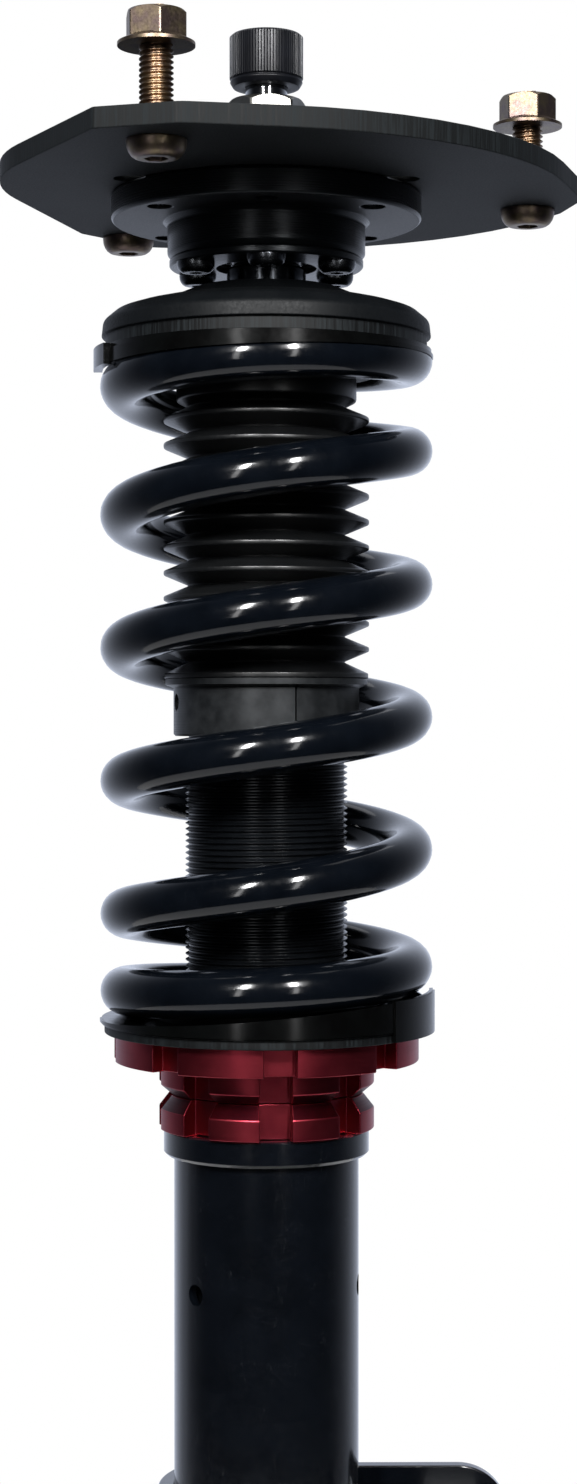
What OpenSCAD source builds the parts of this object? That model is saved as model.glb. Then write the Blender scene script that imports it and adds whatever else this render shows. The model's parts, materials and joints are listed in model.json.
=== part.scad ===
// Coilover strut with a camber-adjustable top mount, threaded damper body and
// screw-in lower casing. Millimetres, +Z up. The origin lies on the strut axis,
// on the upper face of the top plate, which seats against the tower.

/* [Top plate] */
// Thickness of the plate that bolts under the tower
plate_t = 5; // [4:0.5:7]
// Radius of the circle that the three plate bolts stand on
stud_circle_r = 70; // [68:0.5:74]
// Thread diameter of the plate bolts
stud_d = 8; // [7.5:0.1:8.5]
// How far the plate bolts stand out of the plate's upper face
stud_len = 25; // [23:0.5:30]
// Across-flats size of the tower nuts
tower_nut_af = 13; // [12.5:0.1:14]
// Height of a tower nut with its flange
tower_nut_h = 8; // [7:0.25:9]
// Grip left between the plate and the tower nuts
tower_grip = 16.2; // [12:0.2:17]

/* [Camber adjustment] */
// Travel of the bearing housing each way along the slots
camber_travel = 8; // [4:0.5:9]
// Distance of a camber screw from the axis along the slots
camber_x = 26; // [25:0.5:28]
// Distance of a camber screw from the axis across the slots
camber_y = 21.5; // [20:0.5:23]
// Thread diameter of the camber screws
camber_d = 6; // [5.5:0.1:6.5]

/* [Bearing housing] */
// Radius of the housing's round flange
flange_r = 39.2; // [38:0.2:41]
// Thickness of the round flange
flange_t = 6.8; // [6:0.2:9]
// Outer radius of the housing below the flange
housing_r = 25; // [24.5:0.1:27]
// Height of the housing below the flange
housing_h = 9.6; // [9:0.1:11]
// Thickness of the bearing lid
lid_t = 2; // [1.5:0.1:3]
// Radius of the circle of lid screws
lid_screw_circle_r = 20.3; // [20.2:0.05:20.6]
// Number of lid screws
lid_screw_n = 6; // [4:1:8]

/* [Spherical bearing] */
// Radius of the bearing ball
ball_r = 11.6; // [11.2:0.1:12]
// Width of the bearing ball between its flat ends
ball_w = 16; // [15:0.25:17]
// Wall of the sliding liner around the ball
liner_t = 1; // [0.6:0.1:1.2]
// Outer radius of the bearing race
race_r = 16.8; // [16.2:0.1:16.9]
// Width of the bearing race
race_w = 12; // [10:0.25:12.2]

/* [Rod] */
// Diameter of the piston rod
rod_d = 14; // [13:0.5:16]
// Diameter of the rod's neck through the top mount
neck_d = 12; // [11:0.25:12.5]
// Diameter of the rod's extension inside the adjuster knob
tip_d = 10.6; // [9:0.2:10.8]
// Diameter of the adjuster needle inside the rod
needle_d = 4.4; // [3.6:0.2:5]
// Outer radius of the spacer sleeve under the bearing
spacer_r = 10; // [9:0.2:10.4]
// Across-flats size of the rod nut
rod_nut_af = 18; // [17:0.5:19]
// Height of the rod nut
rod_nut_h = 10.8; // [9:0.2:12]

/* [Adjuster knob] */
// Radius over the knob's knurl
knob_r = 9.3; // [8.5:0.1:10.5]
// Height of the knob
knob_h = 13.2; // [11:0.2:16]
// Number of knurl grooves
knurl_n = 36; // [24:2:44]

/* [Upper spring seat] */
// Inset of the upper seat's rim behind the spring pad's lip
seat_inset = 0.55; // [0:0.05:1.5]
// Height of the upper seat
seat_h = 15.5; // [15:0.25:18]
// Drop of the upper seat's top below the lid screws' plane
seat_gap = 5.4; // [5:0.1:7]

/* [Spring] */
// Wire diameter
wire_d = 12; // [11:0.25:12.25]
// Radius to the middle of the wire
coil_r = 36; // [35.9:0.05:36.4]
// Turns from tip to tip
turns = 6.32; // [5.82:0.1:6.62]
// Free height between the ground ends
spring_h = 166; // [160:1:170]
// Pitch of the closed end turns
closed_pitch = 12.5; // [12.5:0.05:13]

/* [Isolators] */
// Thickness of the pads at the spring's ends
pad_t = 2.2; // [1.4:0.1:3]
// Wall of the pads' outer lip
lip_t = 0.9; // [0.6:0.1:1.2]

/* [Lower seat and rings] */
// Radius of the lower seat's plate
lower_seat_r = 41; // [40:0.1:42.5]
// Thickness of the lower seat's plate
lower_seat_t = 2.3; // [1.2:0.1:3]
// Outer radius of the hubs that centre the spring
hub_r = 28.2; // [27:0.1:28.3]
// Height of the lower hub above the seat's plate
hub_h = 10; // [6:0.5:12]
// Outer radius of the perch ring
perch_r = 38.6; // [36:0.2:40]
// Height of the perch ring
perch_h = 7; // [6:0.25:9]
// Reach of the lock rings beyond the damper body
lock_t = 6.8; // [6:0.1:8.5]
// Height of the upper lock ring
lock_upper_h = 8; // [7:0.25:10]
// Height of the lower lock ring
lock_lower_h = 8.8; // [8:0.2:10]
// Width of the spanner notches
notch_w = 8; // [6:0.25:9]
// Number of spanner notches around each ring
notch_n = 8; // [6:1:8]

/* [Boot] */
// Radius over the boot's ribs
boot_r = 26; // [25.5:0.1:27]
// Radius at the bottom of the boot's folds
boot_fold_r = 20; // [19.6:0.1:21]
// Number of boot ribs
boot_ribs = 10; // [8:1:11]
// Wall of the boot
boot_wall = 1.2; // [1:0.1:1.5]

/* [Damper] */
// Outer radius of the damper body over its thread
body_r = 20.5; // [20:0.1:21]
// Wall of the damper body
body_wall = 3.5; // [3:0.1:4]
// Length of the damper body
body_len = 254; // [246:1:258]
// Height from the upper seat's top down to the damper body's top
rod_out = 100; // [99:0.5:104]
// Travel of the damper from full extension to the bump stop
stroke = 50; // [40:1:50]
// Height of the boot collar
collar_h = 12.7; // [11:0.1:14]
// Wall of the boot collar outside the damper body
collar_t = 3; // [2.5:0.1:4.5]

/* [Casing] */
// Wall of the casing tube
casing_wall = 2.4; // [2:0.1:3]
// Length of the casing below the damper body
casing_below = 34.7; // [32:0.1:43]
// Height of the casing's top collar
casing_collar_h = 6.6; // [5:0.2:9]
// Step out of the casing's top collar
casing_collar_t = 2.6; // [1.6:0.1:3.6]
// Depth of the two weep holes below the casing's top
weep_drop = 39.7; // [36:0.5:48]
// Diameter of the weep holes
weep_d = 5.3; // [4:0.1:6]

/* [Knuckle bracket] */
// Thickness of the bracket's sheet
bracket_t = 4; // [3:0.25:5]
// Width of the slot that takes the knuckle
knuckle_gap = 31; // [28:0.5:34]
// Height of the bracket
bracket_h = 84; // [78:1:90]
// Reach of the knuckle bolts from the strut axis
bolt_reach = 50; // [46:0.5:56]
// Distance between the two knuckle bolts
bolt_spacing = 56; // [52:0.5:58]
// Diameter of the knuckle bolt holes
bolt_hole_d = 14.2; // [12:0.1:15]
// Height of the bracket's lower edge above the casing's lower end
bracket_lift = 2; // [1:0.5:6]

/* [Hidden] */
$fn = 64;

// Clearances, each named for what it does
run_gap = 0.04;     // turning or sliding fit, on the radius
hole_gap = 0.2;     // bolt in its hole, on the radius
face_gap = 0.05;    // faces that meet between moving pieces
seat_face_gap = 0.1; // stacked rings on the damper body
thread_gap = 0.06;  // nut on its thread, on the radius
eps = 0.01;

// Finishes
black_metal = [0.07, 0.07, 0.08];
satin_black = [0.16, 0.16, 0.17];
gloss_black = [0.03, 0.03, 0.04];
rubber_black = [0.05, 0.05, 0.055];
red_anodised = [0.52, 0.1, 0.16];
zinc_gold = [0.72, 0.6, 0.42];
steel = [0.68, 0.69, 0.7];
bronze = [0.55, 0.42, 0.25];
liner_green = [0.3, 0.4, 0.36];

// Top plate: the bolts' directions and the outline's corners, each corner as its
// reach beyond the bolt circle, its direction and its rounding radius
STUD_ANGLES = [-111, 14.4, 122.8];
PLATE_CORNERS = [[15.9, -117, 1.5], [14.7, -103, 8], [20.3, -50.8, 88], [10.8, 3.6, 2],
    [10.4, 16.6, 6], [24.9, 61, 84], [11, 114, 8], [3.2, 133.6, 2], [2.2, 194, 58]];
stud_head_r = 7;
stud_head_h = 4.4;
stud_neck_r = stud_d/2 + 0.5;
stud_hole_r = stud_neck_r + hole_gap/2;
stud_thread_r = stud_d/2 - 0.3;
stud_socket_af = 5;
nut_flange_r = tower_nut_af*0.688;
nut_flange_t = 1.4;

// Heights of the top mount, downwards from the plate's upper face
plate_under = -plate_t;
flange_under = plate_under - flange_t;
housing_under = flange_under - housing_h;
lid_under = housing_under - lid_t;
race_top = housing_under + face_gap + race_w;
ball_z = race_top - race_w/2;
ball_top = ball_z + ball_w/2;
ball_under = ball_z - ball_w/2;
ball_bore_r = neck_d/2 + run_gap;
liner_r = ball_r + run_gap + liner_t;
race_bore_r = liner_r + run_gap;
pocket_r = race_r + run_gap;
mouth_r = race_r - 4.3;
lid_screw_d = 5;
lid_head_r = 4.75;
lid_head_h = 2.75;
camber_slot_r = camber_d/2 + 0.3;
camber_head_h = camber_d;
camber_washer_t = 1;
spare_hole_r = 3;
spare_hole_reach = 32;

// Rims that cover the wire
wire_r = wire_d/2;
lip_r = coil_r + wire_r + 0.15;
tab_r = lip_r + 1.5;
seat_r = lip_r - seat_inset;

// Rod group
seat_top = lid_under - seat_gap;
seat_under = seat_top - seat_h;
seat_hub_under = seat_under - 6;
rod_nut_under = 8;
rod_nut_top = rod_nut_under + rod_nut_h;
upper_spacer_r = 8;
plate_mouth_r = upper_spacer_r + 4.5;
knob_under = rod_nut_top + 3.4;
rod_tip_top = knob_under + 6;
knob_band_h = 1.9;
knob_grub_z = knob_under + 4;
needle_bore_r = needle_d/2 + 0.3;
bump_r = 18;
bump_top = seat_hub_under - face_gap;
body_top = seat_top - rod_out;
lip_h = 1.7;
guide_top = body_top - 5;
guide_h = 24;
bore_r = body_r - body_wall;
collar_r = body_r + collar_t;
retainer_in_r = bore_r - 2.5;
wiper_r = retainer_in_r - 1.5;
body_floor_t = 12;
body_under = body_top - body_len;
bump_under = body_top + lip_h + 1.4 + stroke + 1.5;
piston_stem_r = 5;
shim_t = 1.6;
shim_r = 11;
piston_h = 16;
rebound_gap = 12;
rod_shoulder = guide_top - guide_h - rebound_gap;
piston_top = rod_shoulder - shim_t;
piston_under = piston_top - piston_h;
piston_nut_h = 7;
stem_under = piston_under - shim_t - piston_nut_h - 1.5;
needle_under = rod_shoulder - 6;
needle_travel = 2.1;

// Floating piston and gas valve
floater_h = 16;
floater_top = stem_under - stroke - 50;

// Spring, as a centre line that rises from the lower tip to the upper one
pad_top_z = seat_under - pad_t;
pad_low_z = pad_top_z - spring_h;
ring_turns = 8;
wire_sides = 6;
tip_low_z = pad_low_z + 0.4;
low_tip_angle = 1.5;
low_closed = 0.92;
low_blend = 0.5;
top_blend = 0.3;
top_closed = 0.7;
full_turns = turns - low_closed - low_blend - top_blend - top_closed;
// Height from the lower tip's wire middle to the upper tip's, which is ground away most
tip_rise = spring_h - 0.4 + wire_r*0.62;
full_pitch = (tip_rise - closed_pitch*(low_closed + top_closed + (low_blend + top_blend)/2))
    /(full_turns + (low_blend + top_blend)/2);

// Lower seat stack, from the spring's lower pad downwards
lower_seat_top = pad_low_z - 1.4;
lower_seat_under = lower_seat_top - lower_seat_t;
perch_top = lower_seat_under - seat_face_gap;
perch_under = perch_top - perch_h;
lock_upper_top = perch_under - seat_face_gap;
lock_upper_under = lock_upper_top - lock_upper_h;
lock_lower_top = lock_upper_under - seat_face_gap*2;
lock_lower_under = lock_lower_top - lock_lower_h;
lock_r = body_r + lock_t;
lock_waist_r = lock_r - 2.8;
ring_bore_r = body_r + thread_gap;
notch_angle = -84.9;
perch_notch_depth = 3.6;
lock_notch_depth = 4.3;

// Casing and bracket
casing_top = lock_lower_under - seat_face_gap;
casing_under = body_under - casing_below;
casing_bore_r = body_r + 0.5;
casing_r = casing_bore_r + casing_wall;
casing_collar_r = casing_r + casing_collar_t;
casing_thread_h = 24;
WEEP_ANGLES = [-139, -7];
plug_h = 9;
plug_under = casing_under + 3;
bracket_under = casing_under + bracket_lift;
bracket_bore_r = casing_r + face_gap;
bracket_r = bracket_bore_r + bracket_t;
bolt_low_z = bracket_under + (bracket_h - bolt_spacing)/2;
ear_r = 13;

// ---- Shared shapes ----

function unit(v) = v/norm(v);
function polar(r, a) = [r*cos(a), r*sin(a)];

// Points of the arc that rounds corner q between its neighbours p and s
function corner_arc(p, q, s, r) =
    let (u = unit(p - q), v = unit(s - q), half = acos(u*v)/2,
        c = q + unit(u + v)*r/sin(half), a0 = q + u*r/tan(half) - c,
        start = atan2(a0[1], a0[0]), sweep = 180 - 2*half,
        steps = r > 20 ? 10 : 3)
    [for (k = [0:steps]) c + polar(r, start + sweep*k/steps)];

function rounded_outline(corners) =
    let (n = len(corners), pts = [for (c = corners) polar(stud_circle_r + c[0], c[1])])
    [for (i = [0:n - 1])
        for (q = corner_arc(pts[(i + n - 1)%n], pts[i], pts[(i + 1)%n], corners[i][2])) q];

module ring(r_out, r_in, z_low, z_high) {
    translate([0, 0, z_low]) difference() {
        cylinder(r = r_out, h = z_high - z_low);
        translate([0, 0, -1]) cylinder(r = r_in, h = z_high - z_low + 2);
    }
}

// A ring whose upper and lower outer edges are chamfered
module chamfered_ring(r_out, r_in, z_low, z_high, top_c, low_c) {
    rotate_extrude() polygon([[r_in, z_low], [r_out - low_c, z_low], [r_out, z_low + low_c],
        [r_out, z_high - top_c], [r_out - top_c, z_high], [r_in, z_high]]);
}

module at_studs() {
    for (a = STUD_ANGLES) rotate(a) translate([stud_circle_r, 0, 0]) children();
}

module at_camber_screws() {
    for (sx = [-1, 1], sy = [-1, 1]) translate([sx*camber_x, sy*camber_y, 0]) children();
}

module at_lid_screws() {
    for (k = [0:lid_screw_n - 1]) rotate(-90 + k*360/lid_screw_n)
        translate([lid_screw_circle_r, 0, 0]) children();
}

// Hexagon prism with chamfered corners, lower face at z = 0
module hex_body(af, h, chamfer) {
    intersection() {
        cylinder(r = af/2/cos(30), h = h, $fn = 6);
        rotate_extrude() polygon([[0, 0], [af/2, 0], [af/2 + chamfer, chamfer],
            [af/2 + chamfer, h - chamfer], [af/2, h], [0, h]]);
    }
}

// Button head, its flat side at z = 0 and its crown pointing down, with a hex socket
module button_head(r, h, socket_af) {
    difference() {
        rotate_extrude() polygon([[0, 0], [r, 0], [r, -h*0.12],
            for (k = [0:5]) [r*0.6 + r*0.4*cos(k*18), -h*0.12 - h*0.88*sin(k*18)], [0, -h]]);
        translate([0, 0, -h - 1]) cylinder(r = socket_af/2/cos(30), h = h*0.6 + 1, $fn = 6);
    }
}

// ---- Top mount ----

module top_plate() {
    color(black_metal) difference() {
        translate([0, 0, plate_under]) linear_extrude(plate_t)
            polygon(rounded_outline(PLATE_CORNERS));
        at_studs() translate([0, 0, plate_under - 1]) cylinder(r = stud_hole_r, h = plate_t + 2);
        at_camber_screws() slot(camber_slot_r);
        slot(plate_mouth_r);
    }
}

// Slot through the plate, as long as the camber travel each way
module slot(r) {
    translate([0, 0, plate_under - 1]) {
        for (s = [-1, 1]) translate([s*camber_travel, 0, 0]) cylinder(r = r, h = plate_t + 2);
        translate([-camber_travel, -r, 0]) cube([2*camber_travel, 2*r, plate_t + 2]);
    }
}

module plate_bolts() {
    color(zinc_gold) at_studs() {
        translate([0, 0, plate_under]) button_head(stud_head_r, stud_head_h, stud_socket_af);
        translate([0, 0, plate_under - eps]) cylinder(r = stud_neck_r, h = plate_t);
        translate([0, 0, -eps*2]) cylinder(r = stud_d/2, h = tower_grip - 0.1 + eps*2);
        translate([0, 0, tower_grip - 0.1 - eps])
            cylinder(r = stud_thread_r, h = stud_len - tower_grip - 0.9);
        translate([0, 0, stud_len - 1 - eps*2])
            cylinder(r1 = stud_thread_r, r2 = stud_thread_r - 1, h = 1);
    }
}

module tower_nuts() {
    color(zinc_gold) at_studs() translate([0, 0, tower_grip]) difference() {
        union() {
            rotate(30) hex_body(tower_nut_af, tower_nut_h, 0.9);
            rotate_extrude() polygon([[0, 0], [nut_flange_r, 0], [nut_flange_r, 0.8],
                [tower_nut_af/2, nut_flange_t + 0.6], [0, nut_flange_t + 0.6]]);
        }
        translate([0, 0, -1]) cylinder(r = stud_thread_r + thread_gap, h = tower_nut_h + 2);
    }
}

module camber_screws() {
    color(black_metal) at_camber_screws() {
        translate([0, 0, flange_under + 0.8])
            cylinder(r = camber_d/2, h = plate_t + flange_t - 0.8 + camber_washer_t + 1);
        ring(camber_d, camber_d/2 - eps, face_gap, camber_washer_t);
        translate([0, 0, camber_washer_t]) difference() {
            cylinder(r = camber_d*0.83, h = camber_head_h);
            translate([0, 0, camber_head_h/2])
                cylinder(r = camber_d*0.48, h = camber_head_h, $fn = 6);
        }
    }
}

module bearing_housing() {
    color(satin_black) difference() {
        rotate_extrude() polygon([[mouth_r, plate_under - face_gap],
            [flange_r - 0.6, plate_under - face_gap], [flange_r, plate_under - face_gap - 0.6],
            [flange_r, flange_under + 0.6], [flange_r - 0.6, flange_under],
            [housing_r + 1.2, flange_under], [housing_r, flange_under - 1.2],
            [housing_r, housing_under + 1.4], [housing_r - 1.1, housing_under],
            [pocket_r, housing_under], [pocket_r, race_top + face_gap],
            [mouth_r, race_top + face_gap]]);
        at_camber_screws() translate([0, 0, flange_under - 1])
            cylinder(r = camber_d/2 + thread_gap, h = flange_t + 2);
        at_lid_screws() translate([0, 0, housing_under - 1])
            cylinder(r = lid_screw_d/2 + thread_gap, h = 8);
        for (s = [-1, 1]) translate([0, s*spare_hole_reach, flange_under - 1])
            cylinder(r = spare_hole_r, h = flange_t*0.6 + 1);
    }
}

module bearing_lid() {
    color(gloss_black) difference() {
        chamfered_ring(housing_r - 0.5, mouth_r + 0.2, lid_under, housing_under - eps, 0.2, 0.4);
        at_lid_screws() translate([0, 0, lid_under - 1])
            cylinder(r = lid_screw_d/2 + hole_gap, h = lid_t + 2);
    }
}

module lid_screws() {
    color(satin_black) at_lid_screws() translate([0, 0, lid_under - eps]) {
        button_head(lid_head_r, lid_head_h, 3);
        translate([0, 0, -eps]) cylinder(r = lid_screw_d/2, h = lid_t + 6);
    }
}

// Half profile between two spheres, cut off at half the width w
module ball_shell(r_out, r_in, w) {
    translate([0, 0, ball_z]) difference() {
        intersection() {
            sphere(r = r_out);
            translate([0, 0, -w/2]) cylinder(r = r_out + 1, h = w);
        }
        sphere(r = r_in);
    }
}

module bearing_race() {
    color(steel) difference() {
        translate([0, 0, race_top - race_w]) cylinder(r = race_r, h = race_w);
        translate([0, 0, ball_z]) sphere(r = race_bore_r);
    }
}

module bearing_liner() {
    color(liner_green) ball_shell(liner_r, ball_r + run_gap, race_w - 1);
}

module bearing_ball() {
    color(steel) translate([0, 0, ball_z]) difference() {
        intersection() {
            sphere(r = ball_r);
            translate([0, 0, -ball_w/2]) cylinder(r = ball_r + 1, h = ball_w);
        }
        translate([0, 0, -ball_w]) cylinder(r = ball_bore_r, h = ball_w*2);
    }
}

// ---- Rod group ----

module piston_rod() {
    color(steel) difference() {
        union() {
            translate([0, 0, rod_nut_top]) cylinder(r = tip_d/2, h = rod_tip_top - rod_nut_top);
            translate([0, 0, seat_hub_under]) cylinder(r = neck_d/2,
                h = rod_nut_top - seat_hub_under + eps);
            translate([0, 0, rod_shoulder]) cylinder(r = rod_d/2,
                h = seat_hub_under - rod_shoulder + eps);
            translate([0, 0, stem_under]) cylinder(r = piston_stem_r,
                h = rod_shoulder - stem_under + eps);
        }
        translate([0, 0, needle_under - 4]) cylinder(r = needle_bore_r, h = 400);
        translate([0, 0, stem_under - 1]) cylinder(r = needle_bore_r*0.5,
            h = needle_under - stem_under);
    }
}

module upper_spacer() {
    color(steel) chamfered_ring(upper_spacer_r, ball_bore_r, ball_top + eps, rod_nut_under - eps,
        0.6, 0.4);
}

module lower_spacer() {
    color(black_metal) chamfered_ring(spacer_r, ball_bore_r, seat_top + eps, ball_under - eps,
        0.5, 0.3);
}

module rod_nut() {
    color(steel) translate([0, 0, rod_nut_under]) difference() {
        rotate(8) hex_body(rod_nut_af, rod_nut_h, 1.2);
        translate([0, 0, -1]) cylinder(r = ball_bore_r, h = rod_nut_h + 2);
    }
}

module upper_seat() {
    top = seat_top;
    color(satin_black) rotate_extrude() polygon([[ball_bore_r, top], [spacer_r + 8.6, top],
        [26.4, top - 3.3], [30.8, top - 4], [34.6, top - 4.9], [37.9, top - 6], [40.3, top - 8],
        [seat_r, top - 10.5], [seat_r, top - 12.2], [seat_r - 1, top - 12.6],
        [seat_r - 1, seat_under], [hub_r, seat_under], [hub_r, seat_hub_under],
        [ball_bore_r, seat_hub_under]]);
}

// Lip over the front half of the wire, its free edge slanting as the wire rises: height
// z_mid in front, and higher by slant at the right. keep is 1 below the edge, -1 above it
module slanted_lip(z_low, z_high, z_mid, slant, keep) {
    rise = atan(slant/lip_r);
    difference() {
        rotate(181) rotate_extrude(angle = 178.3) polygon([[lip_r - lip_t, z_low],
            [lip_r, z_low], [lip_r, z_high], [lip_r - lip_t, z_high]]);
        translate([0, 0, z_mid]) rotate([0, -rise, 0])
            translate([-60, -60, keep > 0 ? 0 : -20]) cube([120, 120, 20]);
    }
}

module upper_isolator() {
    color(rubber_black) {
        ring(lip_r - lip_t/2, hub_r + 0.3, pad_top_z, seat_under - eps);
        slanted_lip(pad_top_z - 3.2, pad_top_z + 0.9, pad_top_z - 1.3, 1.4, -1);
        rotate(180) rotate_extrude(angle = 23) polygon([[lip_r - lip_t*0.8, seat_under - 0.1],
            [tab_r, seat_under - 0.1], [tab_r, pad_top_z - 3.1], [lip_r - lip_t*0.8, pad_top_z - 3.1]]);
    }
}

module bump_stop() {
    color([0.75, 0.7, 0.55]) {
        r0 = rod_d/2 + 0.4;
        h = bump_top - bump_under;
        rotate_extrude() polygon([[r0, bump_top], [bump_r, bump_top], [bump_r, bump_top - h*0.3],
            [bump_r - 3, bump_top - h*0.4], [bump_r - 0.5, bump_top - h*0.55],
            [bump_r - 0.5, bump_top - h*0.66], [bump_r - 4, bump_top - h*0.76],
            [bump_r - 3, bump_top - h*0.88], [bump_r - 5, bump_under], [r0, bump_under]]);
    }
}

module adjuster_knob() {
    color(gloss_black) difference() {
        translate([0, 0, knob_under]) {
            rotate_extrude() polygon([[0, 0], [knob_r - 0.9, 0], [knob_r - 0.1, knob_band_h - 0.3],
                [knob_r - 0.5, knob_band_h - 0.1], [knob_r, knob_band_h + 0.2],
                [knob_r, knob_h - 0.6], [knob_r - 0.6, knob_h], [0, knob_h]]);
        }
        for (k = [0:knurl_n - 1]) rotate(k*360/knurl_n)
            translate([knob_r + 0.25, 0, knob_under + knob_band_h + 0.35])
                rotate(45) translate([-0.35, -0.35, 0]) cube([0.7, 0.7, knob_h]);
        translate([0, 0, knob_under - 1]) cylinder(r = tip_d/2 + run_gap,
            h = rod_tip_top - knob_under + 1 + face_gap);
        translate([0, 0, knob_under]) cylinder(r = needle_d/2 + thread_gap,
            h = rod_tip_top - knob_under + needle_travel + 3);
        rotate(60) translate([tip_d/2 - 1, 0, knob_grub_z]) rotate([0, 90, 0])
            cylinder(r = 1.5, h = knob_r);
    }
}

module knob_grub_screw() {
    color(steel) rotate(60) translate([tip_d/2 + 0.3, 0, knob_grub_z])
        rotate([0, 90, 0]) cylinder(r = 1.45, h = knob_r - tip_d/2 - 0.9);
}

module adjuster_needle() {
    color(bronze) {
        translate([0, 0, needle_under + 6]) cylinder(r = needle_d/2,
            h = rod_tip_top - needle_under - 6 + 2);
        translate([0, 0, needle_under]) cylinder(r1 = 0.6, r2 = needle_d/2, h = 6 + eps);
    }
}

// ---- Piston ----

module piston() {
    color(steel) difference() {
        chamfered_ring(bore_r - 0.3, piston_stem_r + run_gap, piston_under + eps,
            piston_top - eps, 0.6, 0.6);
        ring(bore_r + 1, bore_r - 1.3, piston_under + 4, piston_top - 4);
        for (k = [0:5]) rotate(k*60) translate([9, 0, piston_under - 1])
            cylinder(r = 1.6, h = piston_h + 2);
    }
}

module piston_band() {
    color(bronze) ring(bore_r - run_gap, bore_r - 1.25, piston_under + 4.1, piston_top - 4.1);
}

module rebound_shims() {
    color(steel) chamfered_ring(shim_r, piston_stem_r + run_gap, piston_top, rod_shoulder - eps,
        0.7, 0.1);
}

module compression_shims() {
    color(steel) chamfered_ring(shim_r, piston_stem_r + run_gap, piston_under - shim_t,
        piston_under, 0.1, 0.7);
}

module piston_nut() {
    color(steel) translate([0, 0, piston_under - shim_t - piston_nut_h - eps]) difference() {
        hex_body(15, piston_nut_h, 0.8);
        translate([0, 0, -1]) cylinder(r = piston_stem_r + run_gap, h = piston_nut_h + 2);
    }
}

// ---- Spring ----

// Height gained after t turns from the lower tip, for a pitch that is closed, blends
// to the full pitch, and blends back
function blend_rise(t, p0, p1, span) = p0*t + (p1 - p0)*t*t/(2*span);
function wire_rise(t) =
    let (a = low_closed, b = a + low_blend, c = b + full_turns, d = c + top_blend,
        za = closed_pitch*a, zb = za + blend_rise(low_blend, closed_pitch, full_pitch, low_blend),
        zc = zb + full_pitch*full_turns,
        zd = zc + blend_rise(top_blend, full_pitch, closed_pitch, top_blend))
    t < a ? closed_pitch*t
    : t < b ? za + blend_rise(t - a, closed_pitch, full_pitch, low_blend)
    : t < c ? zb + full_pitch*(t - b)
    : t < d ? zc + blend_rise(t - c, full_pitch, closed_pitch, top_blend)
    : zd + closed_pitch*(t - d);

tip_turn = wire_d/(2*PI*coil_r);
// Ring positions: the coil, then one more at each end, a wire diameter straight on
function wire_centre(t) = concat(polar(coil_r, low_tip_angle + 360*t), [tip_low_z + wire_rise(t)]);
function wire_heading(t) = [-sin(low_tip_angle + 360*t), cos(low_tip_angle + 360*t), 0];
t_first = tip_turn;
t_last = turns - tip_turn;
WIRE_T = concat([for (t = [t_first:1/ring_turns:t_last - 0.5/ring_turns]) t], [t_last]);

// One ring of the wire's surface, its lowest and highest points held to the ground faces
function wire_ring(c, a) = [for (s = [0:wire_sides - 1])
    let (w = 30 + s*360/wire_sides, out = wire_r*cos(w),
        z = min(c[2], pad_top_z + wire_r*0.4) + wire_r*sin(w))
    [c[0] + out*cos(a), c[1] + out*sin(a), min(max(z, pad_low_z + 0.05), pad_top_z - 0.05)]];
function coil_ring(t) = wire_ring(wire_centre(t), low_tip_angle + 360*t);
WIRE_RINGS = concat(
    [wire_ring(wire_centre(t_first) - wire_heading(t_first)*wire_d, low_tip_angle + 360*t_first)],
    [for (t = WIRE_T) coil_ring(t)],
    [wire_ring(wire_centre(t_last) + wire_heading(t_last)*wire_d, low_tip_angle + 360*t_last)]);

// Skin of triangles over a list of rings, closed at both ends
function tube_faces(rings, sides) = concat(
    [for (i = [0:rings - 2]) for (j = [0:sides - 1])
        let (a = i*sides + j, b = i*sides + (j + 1)%sides, c = a + sides, d = b + sides)
        each [[a, b, c], [b, d, c]]],
    [for (j = [2:sides - 1]) [1, (j + 1)%sides, j]],
    [for (j = [0:sides - 3]) let (z = (rings - 1)*sides, a = (j + 5)%sides, b = (j + 6)%sides)
        [z + 4, z + a, z + b]]);

// Least gap between the wire and its neighbouring turn, measured on the rings' points
wire_gap = min([for (i = [1:len(WIRE_RINGS) - ring_turns])
    min([for (j = [i + ring_turns - 2:min(i + ring_turns + 2, len(WIRE_RINGS) - 2)])
        min([for (p = WIRE_RINGS[i]) for (q = WIRE_RINGS[j]) norm(p - q)])])]);
echo(least_gap_between_spring_turns = wire_gap);

module spring() {
    color(gloss_black) polyhedron(points = [for (r = WIRE_RINGS) each r],
        faces = tube_faces(len(WIRE_RINGS), wire_sides), convexity = 10);
}

// ---- Boot and its collar ----

boot_top = seat_hub_under - face_gap;
boot_under = body_top + lip_h + 0.15;
skirt_h = 4.1;
cup_h = 8.2;
collar_grub_angle = -164;
collar_grub_drop = 4.2;
collar_grub_r = 2;
collar_split_angle = -72;
collar_split_w = 0.4;
rib_pitch = (boot_top - cup_h - boot_under - skirt_h)/boot_ribs;

module dust_boot() {
    // Outer profile from the top down: cup, ribs, skirt
    outer = concat([[boot_fold_r + 2.8, boot_top], [boot_fold_r + 2.8, boot_top - cup_h*0.8],
            [boot_fold_r + 0.6, boot_top - cup_h]],
        [for (k = [0:boot_ribs - 1]) let (z = boot_top - cup_h - k*rib_pitch)
            each [[boot_fold_r, z - rib_pitch*0.12], [boot_r, z - rib_pitch*0.5],
                [boot_fold_r, z - rib_pitch*0.88]]],
        [[boot_fold_r, boot_under + skirt_h], [boot_r, boot_under + 1.4], [boot_r, boot_under]]);
    inner = [for (k = [len(outer) - 1:-1:0]) [outer[k][0] - boot_wall*1.3, outer[k][1]]];
    color(rubber_black) rotate_extrude() polygon(concat(outer, inner));
}

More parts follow.
